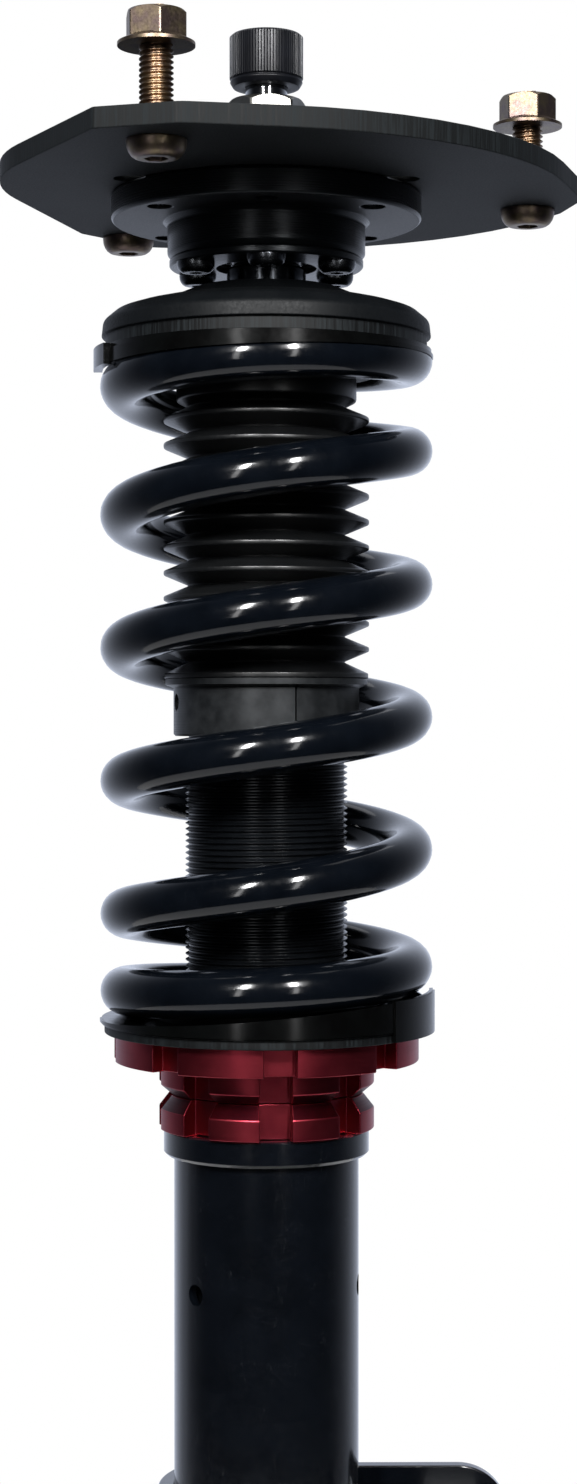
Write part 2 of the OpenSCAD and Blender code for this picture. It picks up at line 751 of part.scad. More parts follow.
module boot_collar() {
    low = body_top - collar_h;
    color(satin_black) difference() {
        rotate_extrude() polygon([[ring_bore_r, low], [collar_r - 0.5, low], [collar_r, low + 0.5],
            [collar_r, body_top - 0.6], [boot_r - 0.4, body_top + 0.2], [boot_r - 0.4, body_top + lip_h],
            [rod_d/2 + 5.5, body_top + lip_h], [rod_d/2 + 5.5, body_top + face_gap],
            [ring_bore_r, body_top + face_gap]]);
        rotate(collar_grub_angle) translate([body_r - 1, 0, body_top - collar_grub_drop])
            rotate([0, 90, 0]) cylinder(r = collar_grub_r + 0.1, h = collar_t + 2);
        rotate(collar_split_angle) translate([body_r - 1, -collar_split_w/2, low - 1])
            cube([collar_t + 3, collar_split_w, collar_h + 1.5]);
    }
}

module collar_grub_screw() {
    color(steel) rotate(collar_grub_angle)
        translate([ring_bore_r + 0.1, 0, body_top - collar_grub_drop])
        rotate([0, 90, 0]) difference() {
            cylinder(r = collar_grub_r, h = collar_t - 0.96);
            translate([0, 0, collar_t/3]) cylinder(r = 1.1, h = collar_t, $fn = 6);
        }
}

// ---- Damper ----

module damper_body() {
    color(black_metal) difference() {
        translate([0, 0, body_under]) union() {
            cylinder(r = body_r, h = body_len - 1);
            translate([0, 0, body_len - 1 - eps]) cylinder(r1 = body_r, r2 = body_r - 0.8, h = 1);
        }
        translate([0, 0, body_under + body_floor_t]) cylinder(r = bore_r, h = body_len);
        translate([0, 0, guide_top + 1.25]) cylinder(r = bore_r + 1.2, h = 1.5);
        translate([0, 0, body_under - 1]) cylinder(r = 4 + thread_gap, h = body_floor_t + 2);
    }
}

module rod_guide() {
    color(bronze) difference() {
        ring(bore_r - 0.02, rod_d/2 + run_gap, guide_top - guide_h, guide_top);
        ring(bore_r + 1, bore_r - 2, guide_top - 14, guide_top - 10);
        translate([0, 0, guide_top - 5]) cylinder(r = rod_d/2 + 4, h = 6);
    }
}

module rod_seal() {
    color(rubber_black) ring(rod_d/2 + 3.95, rod_d/2 + run_gap, guide_top - 4.95, guide_top - 0.1);
}

module rod_wiper() {
    color(rubber_black) rotate_extrude() polygon([[rod_d/2 + run_gap, guide_top + 0.3],
        [wiper_r, guide_top + 0.3], [wiper_r, guide_top + 3.4],
        [rod_d/2 + 2.4, guide_top + 3.8], [rod_d/2 + run_gap, body_top + lip_h + 1.2]]);
}

module guide_o_ring() {
    color(rubber_black) translate([0, 0, guide_top - 12]) rotate_extrude()
        translate([bore_r - 1.05, 0]) circle(r = 0.93, $fn = 24);
}

module retaining_ring() {
    color(steel) translate([0, 0, guide_top + 1.4]) difference() {
        cylinder(r = bore_r + 1.1, h = 1.2);
        translate([0, 0, -1]) cylinder(r = retainer_in_r, h = 4);
        translate([0, -2, -1]) cube([bore_r*2, 4, 4]);
    }
}

module floating_piston() {
    color(steel) difference() {
        translate([0, 0, floater_top - floater_h]) cylinder(r = bore_r - 0.05, h = floater_h);
        translate([0, 0, floater_top - floater_h - 1]) cylinder(r = bore_r - 4, h = 8);
        ring(bore_r + 1, bore_r - 2, floater_top - 10, floater_top - 6);
    }
}

module floating_piston_ring() {
    color(rubber_black) translate([0, 0, floater_top - 8]) rotate_extrude()
        translate([bore_r - 1.05, 0]) circle(r = 0.93, $fn = 24);
}

module gas_valve() {
    color(bronze) {
        translate([0, 0, body_under + 1.5]) cylinder(r = 4, h = body_floor_t + 1);
        translate([0, 0, body_under + body_floor_t + face_gap]) cylinder(r = 6, h = 3);
    }
}

// ---- Spring support ----

// Notches for a hook spanner, all round a ring
module notches(r, depth, z_low, z_high) {
    for (k = [0:notch_n - 1]) rotate(notch_angle + k*360/notch_n)
        translate([r - depth, -notch_w/2, z_low - 1]) cube([depth + 5, notch_w, z_high - z_low + 2]);
}

module lower_isolator() {
    color(rubber_black) {
        ring(lip_r - lip_t/2, hub_r + 0.3, lower_seat_top + eps, pad_low_z);
        slanted_lip(pad_low_z - 0.9, pad_low_z + 8, pad_low_z + 3.5, 3.7, 1);
        rotate(317.5) rotate_extrude(angle = 42) polygon([[lip_r - lip_t*0.8, lower_seat_under + 0.3],
            [lip_r + 0.5, lower_seat_under + 0.3], [lip_r + 0.5, pad_low_z + 6.7],
            [lip_r - lip_t*0.8, pad_low_z + 6.7]]);
    }
}

module lower_seat() {
    color(satin_black) {
        rotate_extrude() polygon([[ring_bore_r, lower_seat_under], [lower_seat_r, lower_seat_under],
            [lower_seat_r, lower_seat_top], [hub_r, lower_seat_top],
            [hub_r, lower_seat_top + hub_h - 1], [hub_r - 1, lower_seat_top + hub_h],
            [ring_bore_r, lower_seat_top + hub_h]]);
    }
}

module perch_ring() {
    color(red_anodised) difference() {
        chamfered_ring(perch_r, ring_bore_r, perch_under, perch_top, 0.4, 0.4);
        notches(perch_r, perch_notch_depth, perch_under, perch_top);
    }
}

module upper_lock_ring() {
    color(red_anodised) difference() {
        rotate_extrude() polygon([[ring_bore_r, lock_upper_under], [lock_waist_r, lock_upper_under],
            [lock_r, lock_upper_under + 2.4], [lock_r, lock_upper_top - 0.3],
            [lock_r - 0.3, lock_upper_top], [ring_bore_r, lock_upper_top]]);
        notches(lock_r, lock_notch_depth, lock_upper_under, lock_upper_top);
    }
}

module lower_lock_ring() {
    color(red_anodised) difference() {
        rotate_extrude() polygon([[ring_bore_r, lock_lower_under],
            [lock_r - 0.3, lock_lower_under], [lock_r, lock_lower_under + 0.3],
            [lock_r, lock_lower_top - 3.6], [lock_waist_r, lock_lower_top],
            [ring_bore_r, lock_lower_top]]);
        notches(lock_r, lock_notch_depth, lock_lower_under, lock_lower_top);
    }
}

// ---- Casing ----

module casing() {
    color(gloss_black) difference() {
        rotate_extrude() polygon([[ring_bore_r, casing_top], [casing_collar_r - 0.4, casing_top],
            [casing_collar_r, casing_top - 0.4],
            [casing_collar_r, casing_top - casing_collar_h + 0.8],
            [casing_collar_r - 0.8, casing_top - casing_collar_h],
            [casing_r, casing_top - casing_collar_h], [casing_r, casing_under],
            [casing_bore_r, casing_under], [casing_bore_r, casing_top - casing_thread_h],
            [ring_bore_r, casing_top - casing_thread_h]]);
        for (a = WEEP_ANGLES) rotate(a) translate([casing_bore_r - 2, 0, casing_top - weep_drop])
            rotate([0, 90, 0]) cylinder(r = weep_d/2, h = casing_wall + 4);
    }
}

module knuckle_bracket() {
    ear_in = knuckle_gap/2;
    ear_out = ear_in + bracket_t;
    ear_from = sqrt(pow(bracket_bore_r, 2) - pow(ear_in, 2));
    color(gloss_black) difference() {
        union() {
            translate([0, 0, bracket_under]) cylinder(r = bracket_r, h = bracket_h);
            for (s = [-1, 1]) {
                translate([ear_from, s > 0 ? ear_in : -ear_out, bracket_under])
                    cube([bolt_reach - ear_from, bracket_t, bracket_h]);
                translate([bolt_reach, s > 0 ? ear_in : -ear_out, bracket_under + ear_r])
                    cube([ear_r, bracket_t, bracket_h - 2*ear_r]);
                for (z = [bracket_under + ear_r, bracket_under + bracket_h - ear_r])
                    translate([bolt_reach, s > 0 ? ear_out : -ear_in, z])
                        rotate([90, 0, 0]) cylinder(r = ear_r, h = bracket_t);
            }
        }
        translate([0, 0, bracket_under - 1]) cylinder(r = bracket_bore_r, h = bracket_h + 2);
        translate([0, -ear_in, bracket_under - 1])
            cube([bolt_reach*2, knuckle_gap, bracket_h + 2]);
        for (k = [0, 1]) translate([bolt_reach, ear_out + 1, bolt_low_z + k*bolt_spacing])
            rotate([90, 0, 0]) cylinder(r = bolt_hole_d/2, h = 2*ear_out + 2);
    }
}

module base_plug() {
    color(satin_black) translate([0, 0, plug_under]) difference() {
        cylinder(r = casing_bore_r - 0.05, h = plug_h);
        translate([0, 0, -1]) cylinder(r = casing_bore_r - 6, h = 4);
    }
}

top_plate();
plate_bolts();
tower_nuts();
camber_screws();
bearing_housing();
bearing_lid();
lid_screws();
bearing_race();
bearing_liner();
bearing_ball();
piston_rod();
upper_spacer();
lower_spacer();
rod_nut();
upper_seat();
upper_isolator();
bump_stop();
adjuster_knob();
knob_grub_screw();
adjuster_needle();
piston();
piston_band();
rebound_shims();
compression_shims();
piston_nut();
spring();
dust_boot();
damper_body();
rod_guide();
rod_seal();
rod_wiper();
guide_o_ring();
retaining_ring();
boot_collar();
collar_grub_screw();
floating_piston();
floating_piston_ring();
gas_valve();
lower_isolator();
lower_seat();
perch_ring();
upper_lock_ring();
lower_lock_ring();
casing();
knuckle_bracket();
base_plug();
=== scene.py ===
"""Coilover strut: visual pieces and finishes of each sub-assembly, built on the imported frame."""

import json
import logging
import math
from dataclasses import dataclass
from enum import Enum
from typing import Any, Callable

import bmesh
import bpy
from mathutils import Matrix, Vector


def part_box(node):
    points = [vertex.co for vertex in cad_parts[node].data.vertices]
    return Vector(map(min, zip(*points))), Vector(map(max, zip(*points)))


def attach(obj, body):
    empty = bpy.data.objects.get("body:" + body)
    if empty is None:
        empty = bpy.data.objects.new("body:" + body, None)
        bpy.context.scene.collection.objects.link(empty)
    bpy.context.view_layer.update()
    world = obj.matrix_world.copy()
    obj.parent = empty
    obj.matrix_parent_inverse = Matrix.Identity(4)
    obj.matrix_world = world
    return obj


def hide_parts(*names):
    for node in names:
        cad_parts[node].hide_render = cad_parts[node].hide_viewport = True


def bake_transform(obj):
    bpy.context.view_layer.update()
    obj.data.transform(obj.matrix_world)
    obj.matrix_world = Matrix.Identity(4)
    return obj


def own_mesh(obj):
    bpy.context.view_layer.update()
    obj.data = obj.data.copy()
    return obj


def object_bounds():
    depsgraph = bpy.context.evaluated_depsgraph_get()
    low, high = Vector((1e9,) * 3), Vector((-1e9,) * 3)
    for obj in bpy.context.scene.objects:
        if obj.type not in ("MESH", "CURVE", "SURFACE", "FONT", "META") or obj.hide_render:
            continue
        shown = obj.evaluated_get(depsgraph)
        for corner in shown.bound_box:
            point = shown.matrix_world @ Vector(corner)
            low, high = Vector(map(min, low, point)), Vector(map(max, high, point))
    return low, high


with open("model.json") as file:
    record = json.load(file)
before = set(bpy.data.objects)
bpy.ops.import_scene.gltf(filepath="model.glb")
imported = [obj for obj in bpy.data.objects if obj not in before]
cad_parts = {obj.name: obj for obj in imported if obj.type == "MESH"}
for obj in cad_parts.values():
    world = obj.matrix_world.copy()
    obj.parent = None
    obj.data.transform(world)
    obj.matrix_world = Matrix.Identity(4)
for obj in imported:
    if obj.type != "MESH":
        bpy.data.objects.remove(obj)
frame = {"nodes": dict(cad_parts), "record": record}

CAD_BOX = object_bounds()
MM = 0.001
SHARP_ANGLE = math.radians(36)
BREAK_ANGLE = math.radians(28)
BREAK_STEPS = 3
WELD_MM = 0.003
log = logging.getLogger("coilover")

Profile = list[tuple[float, float]]


# ---------------------------------------------------------------- colours and nodes


def linear(colour: str) -> tuple[float, float, float, float]:
    """Turns an sRGB hex colour into linear RGBA.

    Args:
        colour: The colour as "#rrggbb".

    Returns:
        Linear red, green, blue and an alpha of 1.
    """
    parts = [int(colour[i : i + 2], 16) / 255 for i in (1, 3, 5)]
    red, green, blue = (p / 12.92 if p <= 0.04045 else ((p + 0.055) / 1.055) ** 2.4 for p in parts)
    return red, green, blue, 1.0


def add(tree: bpy.types.NodeTree, kind: str, inputs: dict | None = None, **settings: Any) -> Any:
    """Adds one shader node with its settings, values and links.

    Args:
        tree: The node tree to add to.
        kind: The node's type, without "ShaderNode".
        inputs: Input name or number to a value, or to the socket that feeds it.
        **settings: Attributes of the node.

    Returns:
        The new node.
    """
    node = tree.nodes.new("ShaderNode" + kind)
    for name, value in settings.items():
        setattr(node, name, value)
    for name, value in (inputs or {}).items():
        if isinstance(value, bpy.types.NodeSocket):
            tree.links.new(value, node.inputs[name])
        else:
            node.inputs[name].default_value = value
    return node


# Light on the finishes: refraction of paint and rubber, and the roughness of a clear gloss layer
POLYMER_IOR = 1.5
COAT_ROUGHNESS = 0.06
# A hairline scuff dulls the surface and leaves a dusty grey
SCUFF_COLOUR = "#1b1d20"
SCUFF_ROUGHNESS = 0.12
# How far drawn marks are stretched along the strut
DRAWN_STRETCH = (1, 1, 0.03)


class Grain(Enum):
    """How a surface was made, which sets the direction of its fine marks."""

    TURNED = "rings left by a lathe tool"
    DRAWN = "marks along the strut, from sawing, milling or drawing"
    SPRAYED = "orange peel of a sprayed or powdered coat"
    MOULDED = "fine leathery texture of a mould"


@dataclass(frozen=True)
class Finish:
    """A procedural finish. Lengths are in millimetres on the object.

    Attributes:
        name: The material and how its surface was made.
        colour: Main colour, sRGB hex.
        shade: Second colour that patches drift to, sRGB hex.
        roughness: Roughness of the clean surface.
        spread: How much roughness is added where it is dull.
        metallic: 1 for bare, plated or anodised metal, 0 for paint, rubber and plastic.
        grain: Kind of fine marks.
        grain_mm: Spacing of the marks.
        depth_mm: Height of the marks.
        patch_mm: Size of the patches of colour and roughness.
        coat: Weight of a clear gloss layer.
        gloss: Strength of the reflection of what isn't metal, 0.5 as refraction gives it.
        scuffs: Share of hairline scuffs that catch the light, 0 for none.
    """

    name: str
    colour: str
    shade: str
    roughness: float
    spread: float = 0.1
    metallic: float = 0.0
    grain: Grain = Grain.SPRAYED
    grain_mm: float = 0.8
    depth_mm: float = 0.004
    patch_mm: float = 9.0
    coat: float = 0.0
    gloss: float = 0.5
    scuffs: float = 0.0

    def marks(self, tree: bpy.types.NodeTree, place: Any) -> Any:
        """Draws the fine marks of the grain.

        Args:
            tree: The material's node tree.
            place: Socket with the surface position in millimetres.

        Returns:
            Socket with the height of the marks, from 0 to 1.
        """
        if self.grain is Grain.TURNED:
            flat = add(tree, "VectorMath", {0: place, 1: (1, 1, 0)}, operation="MULTIPLY")
            reach = add(tree, "VectorMath", {0: flat.outputs[0]}, operation="LENGTH")
            axis = add(tree, "SeparateXYZ", {0: place})
            sizes = {0: reach.outputs["Value"], 1: axis.outputs["Z"]}
            along = add(tree, "Math", sizes, operation="ADD")
            rings = {"W": along.outputs[0], "Scale": 1 / self.grain_mm, "Detail": 3.0, "Roughness": 0.7}
            return add(tree, "TexNoise", rings, noise_dimensions="1D").outputs["Fac"]
        stretch = DRAWN_STRETCH if self.grain is Grain.DRAWN else (1, 1, 1)
        shaped = add(tree, "VectorMath", {0: place, 1: stretch}, operation="MULTIPLY").outputs[0]
        fine = {"Vector": shaped, "Scale": 1 / self.grain_mm, "Detail": 3.0, "Roughness": 0.6}
        return add(tree, "TexNoise", fine).outputs["Fac"]

    def hairlines(self, tree: bpy.types.NodeTree, place: Any) -> Any:
        """Draws thin scuffs that wander across the surface.

        Args:
            tree: The material's node tree.
            place: Socket with the surface position in millimetres.

        Returns:
            Socket that is 1 on a scuff and 0 elsewhere.
        """
        leaned = add(
            tree, "Mapping", {"Vector": place, "Rotation": (0.5, 0.7, 0.3), "Scale": (1, 0.06, 0.35)}
        )
        noise = add(
            tree,
            "TexNoise",
            {"Vector": leaned.outputs[0], "Scale": 0.9, "Detail": 2.0, "Distortion": 0.4},
        )
        level = 0.5
        edge = level + 0.014 * self.scuffs
        fade = {"From Min": level, "From Max": edge, "To Min": 1.0, "To Max": 0.0}
        band = add(tree, "MapRange", {"Value": noise.outputs["Fac"], **fade})
        above = add(tree, "Math", {0: noise.outputs["Fac"], 1: level}, operation="GREATER_THAN")
        rare = add(tree, "TexNoise", {"Vector": place, "Scale": 0.09, "Detail": 1.0})
        here = add(tree, "Math", {0: rare.outputs["Fac"], 1: 0.56}, operation="GREATER_THAN")
        both = add(tree, "Math", {0: band.outputs[0], 1: above.outputs[0]}, operation="MULTIPLY")
        found = add(tree, "Math", {0: both.outputs[0], 1: here.outputs[0]}, operation="MULTIPLY")
        return found.outputs[0]

    def material(self) -> bpy.types.Material:
        """Builds the material, or returns it if it is there already."""
        known = bpy.data.materials.get(self.name)
        if known:
            return known
        made = bpy.data.materials.new(self.name)
        made.use_nodes = True
        tree = made.node_tree
        shader = tree.nodes["Principled BSDF"]
        where = add(tree, "TexCoord")
        place = add(
            tree, "VectorMath", {0: where.outputs["Object"], "Scale": 1 / MM}, operation="SCALE"
        ).outputs[0]
        patches = add(tree, "TexNoise", {"Vector": place, "Scale": 1 / self.patch_mm, "Detail": 4.0})
        drift = add(
            tree, "MapRange", {"Value": patches.outputs["Fac"], "From Min": 0.35, "From Max": 0.65}
        ).outputs[0]
        marks = self.marks(tree, place)
        if self.grain is Grain.DRAWN:
            ticks = {"Value": marks, "From Min": 0.46, "From Max": 0.6}
            drift = add(tree, "MapRange", ticks).outputs[0]
        # A Mix node has sockets of every kind under the same names, so they go by number here
        colours = {0: drift, 6: linear(self.colour), 7: linear(self.shade)}
        paint = add(tree, "Mix", colours, data_type="RGBA").outputs[2]
        dull = add(
            tree,
            "MapRange",
            {"Value": marks, "From Min": 0.3, "From Max": 0.7, "To Min": 0.0, "To Max": self.spread},
        ).outputs[0]
        rough = add(tree, "Math", {0: dull, 1: self.roughness}, operation="ADD").outputs[0]
        if self.scuffs:
            lines = self.hairlines(tree, place)
            duller = {0: lines, 1: SCUFF_ROUGHNESS, 2: rough}
            rough = add(tree, "Math", duller, operation="MULTIPLY_ADD").outputs[0]
            worn = {0: lines, 6: paint, 7: linear(SCUFF_COLOUR)}
            paint = add(tree, "Mix", worn, data_type="RGBA").outputs[2]
        bump = add(tree, "Bump", {"Height": marks, "Distance": self.depth_mm * MM, "Strength": 1.0})
        tree.links.new(paint, shader.inputs["Base Color"])
        tree.links.new(rough, shader.inputs["Roughness"])
        tree.links.new(bump.outputs[0], shader.inputs["Normal"])
        shader.inputs["Metallic"].default_value = self.metallic
        shader.inputs["Coat Weight"].default_value = self.coat
        shader.inputs["Coat Roughness"].default_value = COAT_ROUGHNESS
        if not self.metallic:
            shader.inputs["IOR"].default_value = POLYMER_IOR
            shader.inputs["Specular IOR Level"].default_value = self.gloss
        return made


# Satin black coat on laser-cut steel plate: soft grey sheen, even and a little dry
PLATE_COAT = Finish(
    "satin black coated steel plate", "#121415", "#171a1b", roughness=0.6, spread=0.14,
    grain_mm=0.45, depth_mm=0.01, patch_mm=14, gloss=0.2,
)
# The plate's cut edge under the same coat: upright tool marks that glint
PLATE_EDGE = Finish(
    "satin black coated cut edge", "#0b0d0e", "#14181a", roughness=0.55, spread=0.2,
    grain=Grain.DRAWN, grain_mm=0.5, depth_mm=0.03, gloss=0.16,
)
# Yellow zinc passivate on rolled steel: bronze that drifts to pink and green
ZINC_PASSIVATE = Finish(
    "yellow passivated zinc on steel", "#7d705a", "#6b5c58", roughness=0.34, spread=0.12,
    metallic=1.0, grain_mm=0.6, depth_mm=0.008, patch_mm=3.2,
)
# The same passivate on the rolled thread, where it is thicker and more orange
ZINC_THREAD = Finish(
    "yellow passivated rolled thread", "#846f56", "#6a5648", roughness=0.3, spread=0.14,
    metallic=1.0, grain=Grain.TURNED, grain_mm=0.3, depth_mm=0.006, patch_mm=2.6,
)
# Gloss black anodised aluminium straight from the lathe: near-mirror with faint rings
ANODISED_TURNED = Finish(
    "black anodised turned aluminium", "#15181b", "#1b1e21", roughness=0.24, spread=0.1,
    metallic=0.6, grain=Grain.TURNED, grain_mm=0.16, depth_mm=0.0012, patch_mm=10,
)
# The flange's face is bead blasted before anodising, so it is a flat dark grey
ANODISED_BLASTED = Finish(
    "black anodised blasted aluminium", "#1a1c1d", "#1f2123", roughness=0.42, spread=0.12,
    metallic=0.2, grain_mm=0.3, depth_mm=0.004,
)
# Black oxide on cold-headed screws: smooth, dark, with sharp highlights
BLACK_OXIDE = Finish(
    "black oxide on screw steel", "#55575b", "#434548", roughness=0.22, spread=0.1, metallic=1.0,
    grain_mm=0.4, depth_mm=0.002,
)
# Ground bearing steel: clean and bright
BEARING_STEEL = Finish(
    "ground bearing steel", "#b9babb", "#a9aaac", roughness=0.18, spread=0.08, metallic=1.0,
    grain=Grain.TURNED, grain_mm=0.12, depth_mm=0.001,
)
# Dark chromed sleeve: a black mirror
DARK_CHROME = Finish(
    "dark chromed sleeve", "#5c5f64", "#4c4f54", roughness=0.16, spread=0.06, metallic=1.0,
    grain=Grain.TURNED, grain_mm=0.2, depth_mm=0.0008,
)
# Hard chrome on the polished rod
HARD_CHROME = Finish(
    "hard chromed piston rod", "#c8cacc", "#bfc1c4", roughness=0.06, spread=0.05, metallic=1.0,
    grain=Grain.TURNED, grain_mm=0.1, depth_mm=0.0004,
)
# Bright zinc on the hex nut and rod end, brushed by the spanner
BRIGHT_ZINC = Finish(
    "bright zinc on hex steel", "#83827d", "#6c6b67", roughness=0.28, spread=0.15, metallic=1.0,
    grain_mm=0.5, depth_mm=0.006, patch_mm=3,
)
# Textured satin powder coat on the pressed spring seat
SEAT_POWDER = Finish(
    "satin black powder coat", "#06080a", "#0a0c0e", roughness=0.42, spread=0.16, grain_mm=0.7,
    depth_mm=0.03, gloss=0.14,
)
# The seat's rim is faced on a lathe after coating: a fine upright scratch all round
SEAT_RIM = Finish(
    "scraped black seat rim", "#08090a", "#171b1d", roughness=0.42, spread=0.2, grain=Grain.DRAWN,
    grain_mm=0.55, depth_mm=0.02, patch_mm=6, gloss=0.2,
)
# Gloss moulded rubber of the spring pads
PAD_RUBBER = Finish(
    "moulded gloss rubber pad", "#030303", "#060707", roughness=0.16, spread=0.05,
    grain=Grain.MOULDED, grain_mm=2.4, depth_mm=0.002, gloss=0.3,
)
# Gloss powder coat on wound spring wire: deep black, wet look, very slight orange peel
SPRING_POWDER = Finish(
    "gloss black powder coat on spring wire", "#04060a", "#070a0f", roughness=0.1, spread=0.06,
    grain_mm=2.6, depth_mm=0.012, coat=0.35, gloss=0.35, scuffs=0.3,
)
# Moulded rubber of the boot: smooth skin with a soft sheen
BOOT_RUBBER = Finish(
    "moulded boot rubber", "#08090a", "#0d0e0f", roughness=0.28, spread=0.12, grain=Grain.MOULDED,
    grain_mm=0.9, depth_mm=0.008,
)
# Satin anodised clamp collar with lathe rings and dusty blotches
COLLAR_ANODISED = Finish(
    "satin black anodised collar", "#1b1d1f", "#2a2c2e", roughness=0.3, spread=0.16, metallic=0.5,
    grain=Grain.TURNED, grain_mm=0.25, depth_mm=0.002, patch_mm=3.5,
)
# Black anodised thread, cut on a lathe: bright crests in a dark column
THREAD_ANODISED = Finish(
    "black anodised cut thread", "#101215", "#181b1f", roughness=0.22, spread=0.12, metallic=0.6,
    grain=Grain.TURNED, grain_mm=0.2, depth_mm=0.002, patch_mm=7,
)
# Dark red anodised aluminium, turned: a metallic wine red with fine rings
RED_ANODISED = Finish(
    "red anodised turned aluminium", "#9c3540", "#862a36", roughness=0.29, spread=0.1, metallic=1.0,
    grain=Grain.TURNED, grain_mm=0.22, depth_mm=0.003, patch_mm=9,
)
# Red anodised chamfers in a darker red: painted shade, as the perch above shadows the waist between the
# lock rings
RED_CHAMFER_PAINTED_SHADE = Finish(
    "red anodised chamfer in painted shade", "#4c141d", "#3c0f17", roughness=0.34, spread=0.1, metallic=1.0,
    grain=Grain.TURNED, grain_mm=0.3, depth_mm=0.006, patch_mm=7,
)
# Gloss powder coat on the steel casing, with handling scuffs
CASING_POWDER = Finish(
    "gloss black powder coat on steel tube", "#05070b", "#080b10", roughness=0.13, spread=0.08,
    grain_mm=1.6, depth_mm=0.006, coat=0.5, scuffs=1.0,
)
# Straight-knurled black anodised knob
KNOB_ANODISED = Finish(
    "black anodised knurled knob", "#07080c", "#101218", roughness=0.32, spread=0.12, metallic=0.2,
    grain_mm=0.3, depth_mm=0.003,
)
# Machined bronze and sintered steel of the inner pieces
BRONZE = Finish(
    "machined bronze", "#9a7a48", "#866a40", roughness=0.28, spread=0.12, metallic=1.0,
    grain=Grain.TURNED, grain_mm=0.25, depth_mm=0.002,
)
SINTERED_STEEL = Finish(
    "machined sintered steel", "#8f9194", "#7c7e82", roughness=0.35, spread=0.15, metallic=1.0,
    grain=Grain.TURNED, grain_mm=0.25, depth_mm=0.003,
)
# Black nitrile seals
NITRILE = Finish(
    "moulded nitrile rubber", "#121212", "#1a1a1a", roughness=0.4, spread=0.15, grain=Grain.MOULDED,
    grain_mm=0.5, depth_mm=0.01,
)
# Cellular polyurethane of the bump stop
BUMP_FOAM = Finish(
    "cellular polyurethane", "#b7a878", "#a39465", roughness=0.6, spread=0.2, grain=Grain.MOULDED,
    grain_mm=0.7, depth_mm=0.08,
)
# Woven slide liner
LINER = Finish(
    "woven slide liner", "#46534c", "#3a463f", roughness=0.5, spread=0.15, grain_mm=0.4,
    depth_mm=0.02,
)


# ---------------------------------------------------------------- mesh tools


def place_piece(
    name: str,
    bm: bmesh.types.BMesh,
    finishes: list[Finish],
    body: str,
    nodes: tuple[str, ...] = (),
    weighted: bool = False,
) -> bpy.types.Object:
    """Turns a bmesh into a finished piece that rides on a body.

    Args:
        name: The piece's name.
        bm: Its mesh, which is freed.
        finishes: One finish per material index.
        body: The CAD body it moves with, or nothing for a piece attached to no body.
        nodes: CAD nodes that it stands for.
        weighted: Whether large faces keep their flat normals.

    Returns:
        The new object.
    """
    bmesh.ops.recalc_face_normals(bm, faces=bm.faces)
    mesh = bpy.data.meshes.new(name)
    bm.to_mesh(mesh)
    bm.free()
    mesh.shade_smooth()
    mesh.set_sharp_from_angle(angle=SHARP_ANGLE)
    piece = bpy.data.objects.new(name, mesh)
    bpy.context.scene.collection.objects.link(piece)
    for finish in finishes:
        mesh.materials.append(finish.material())
    if weighted:
        normals = piece.modifiers.new("flat faces", "WEIGHTED_NORMAL")
        normals.keep_sharp = True
    if body:
        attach(piece, body)
    if nodes:
        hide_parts(*nodes)
    log.info("%s: %d faces", name, len(mesh.polygons))
    return piece


def body_of(node: str) -> str:
    """Returns the name of the body that holds a CAD node."""
    bodies = frame["record"]["behaviour"]["bodies"]
    return next(body for body, members in bodies.items() if node in members)


def break_edges(bm: bmesh.types.BMesh, edge_mm: float, clamp: bool = False) -> None:
    """Breaks the sharp edges of a mesh, as a file or a tumbler does.

    Args:
        bm: The mesh.
        edge_mm: Width of the broken edges.
        clamp: Whether neighbouring edges hold each other back where there is no room.
    """
    sharp = [e for e in bm.edges if len(e.link_faces) == 2 and e.calc_face_angle(0) > BREAK_ANGLE]
    bmesh.ops.bevel(
        bm,
        geom=sharp,
        offset=edge_mm * MM,
        offset_type="OFFSET",
        segments=BREAK_STEPS,
        profile=0.5,
        affect="EDGES",
        clamp_overlap=clamp,
    )


def eased(
    node: str,
    finish: Finish,
    edge_mm: float = 0.3,
    also: Finish | None = None,
    where: Callable[[Any], bool] | None = None,
    drop: Callable[[Vector], bool] | None = None,
) -> bpy.types.Object:
    """Stands for a CAD node with the same shape, its sharp edges broken as on a real part.

    Args:
        node: The CAD node's name.
        finish: Main finish.
        edge_mm: Width of the broken edges.
        also: Second finish for the faces that where picks.
        where: Test on a face for the second finish.
        drop: Test on a point, in millimetres, for what another piece draws instead.

    Returns:
        The new object.
    """
    bm = bmesh.new()
    bm.from_mesh(frame["nodes"][node].data)
    bmesh.ops.remove_doubles(bm, verts=bm.verts, dist=WELD_MM * MM)
    if drop:
        bmesh.ops.delete(bm, geom=[v for v in bm.verts if drop(v.co / MM)], context="VERTS")
        rims = [e for e in bm.edges if len(e.link_faces) == 1]
        bmesh.ops.holes_fill(bm, edges=rims, sides=0)
    bmesh.ops.dissolve_limit(bm, angle_limit=math.radians(1), verts=bm.verts, edges=bm.edges)
    break_edges(bm, edge_mm, clamp=True)
    finishes = [finish]
    if also:
        finishes.append(also)
        for face in bm.faces:
            face.normal_update()
            face.material_index = int(where(face))
    name = node + "_dressed"
    return place_piece(name, bm, finishes, body_of(node), (node,), weighted=True)


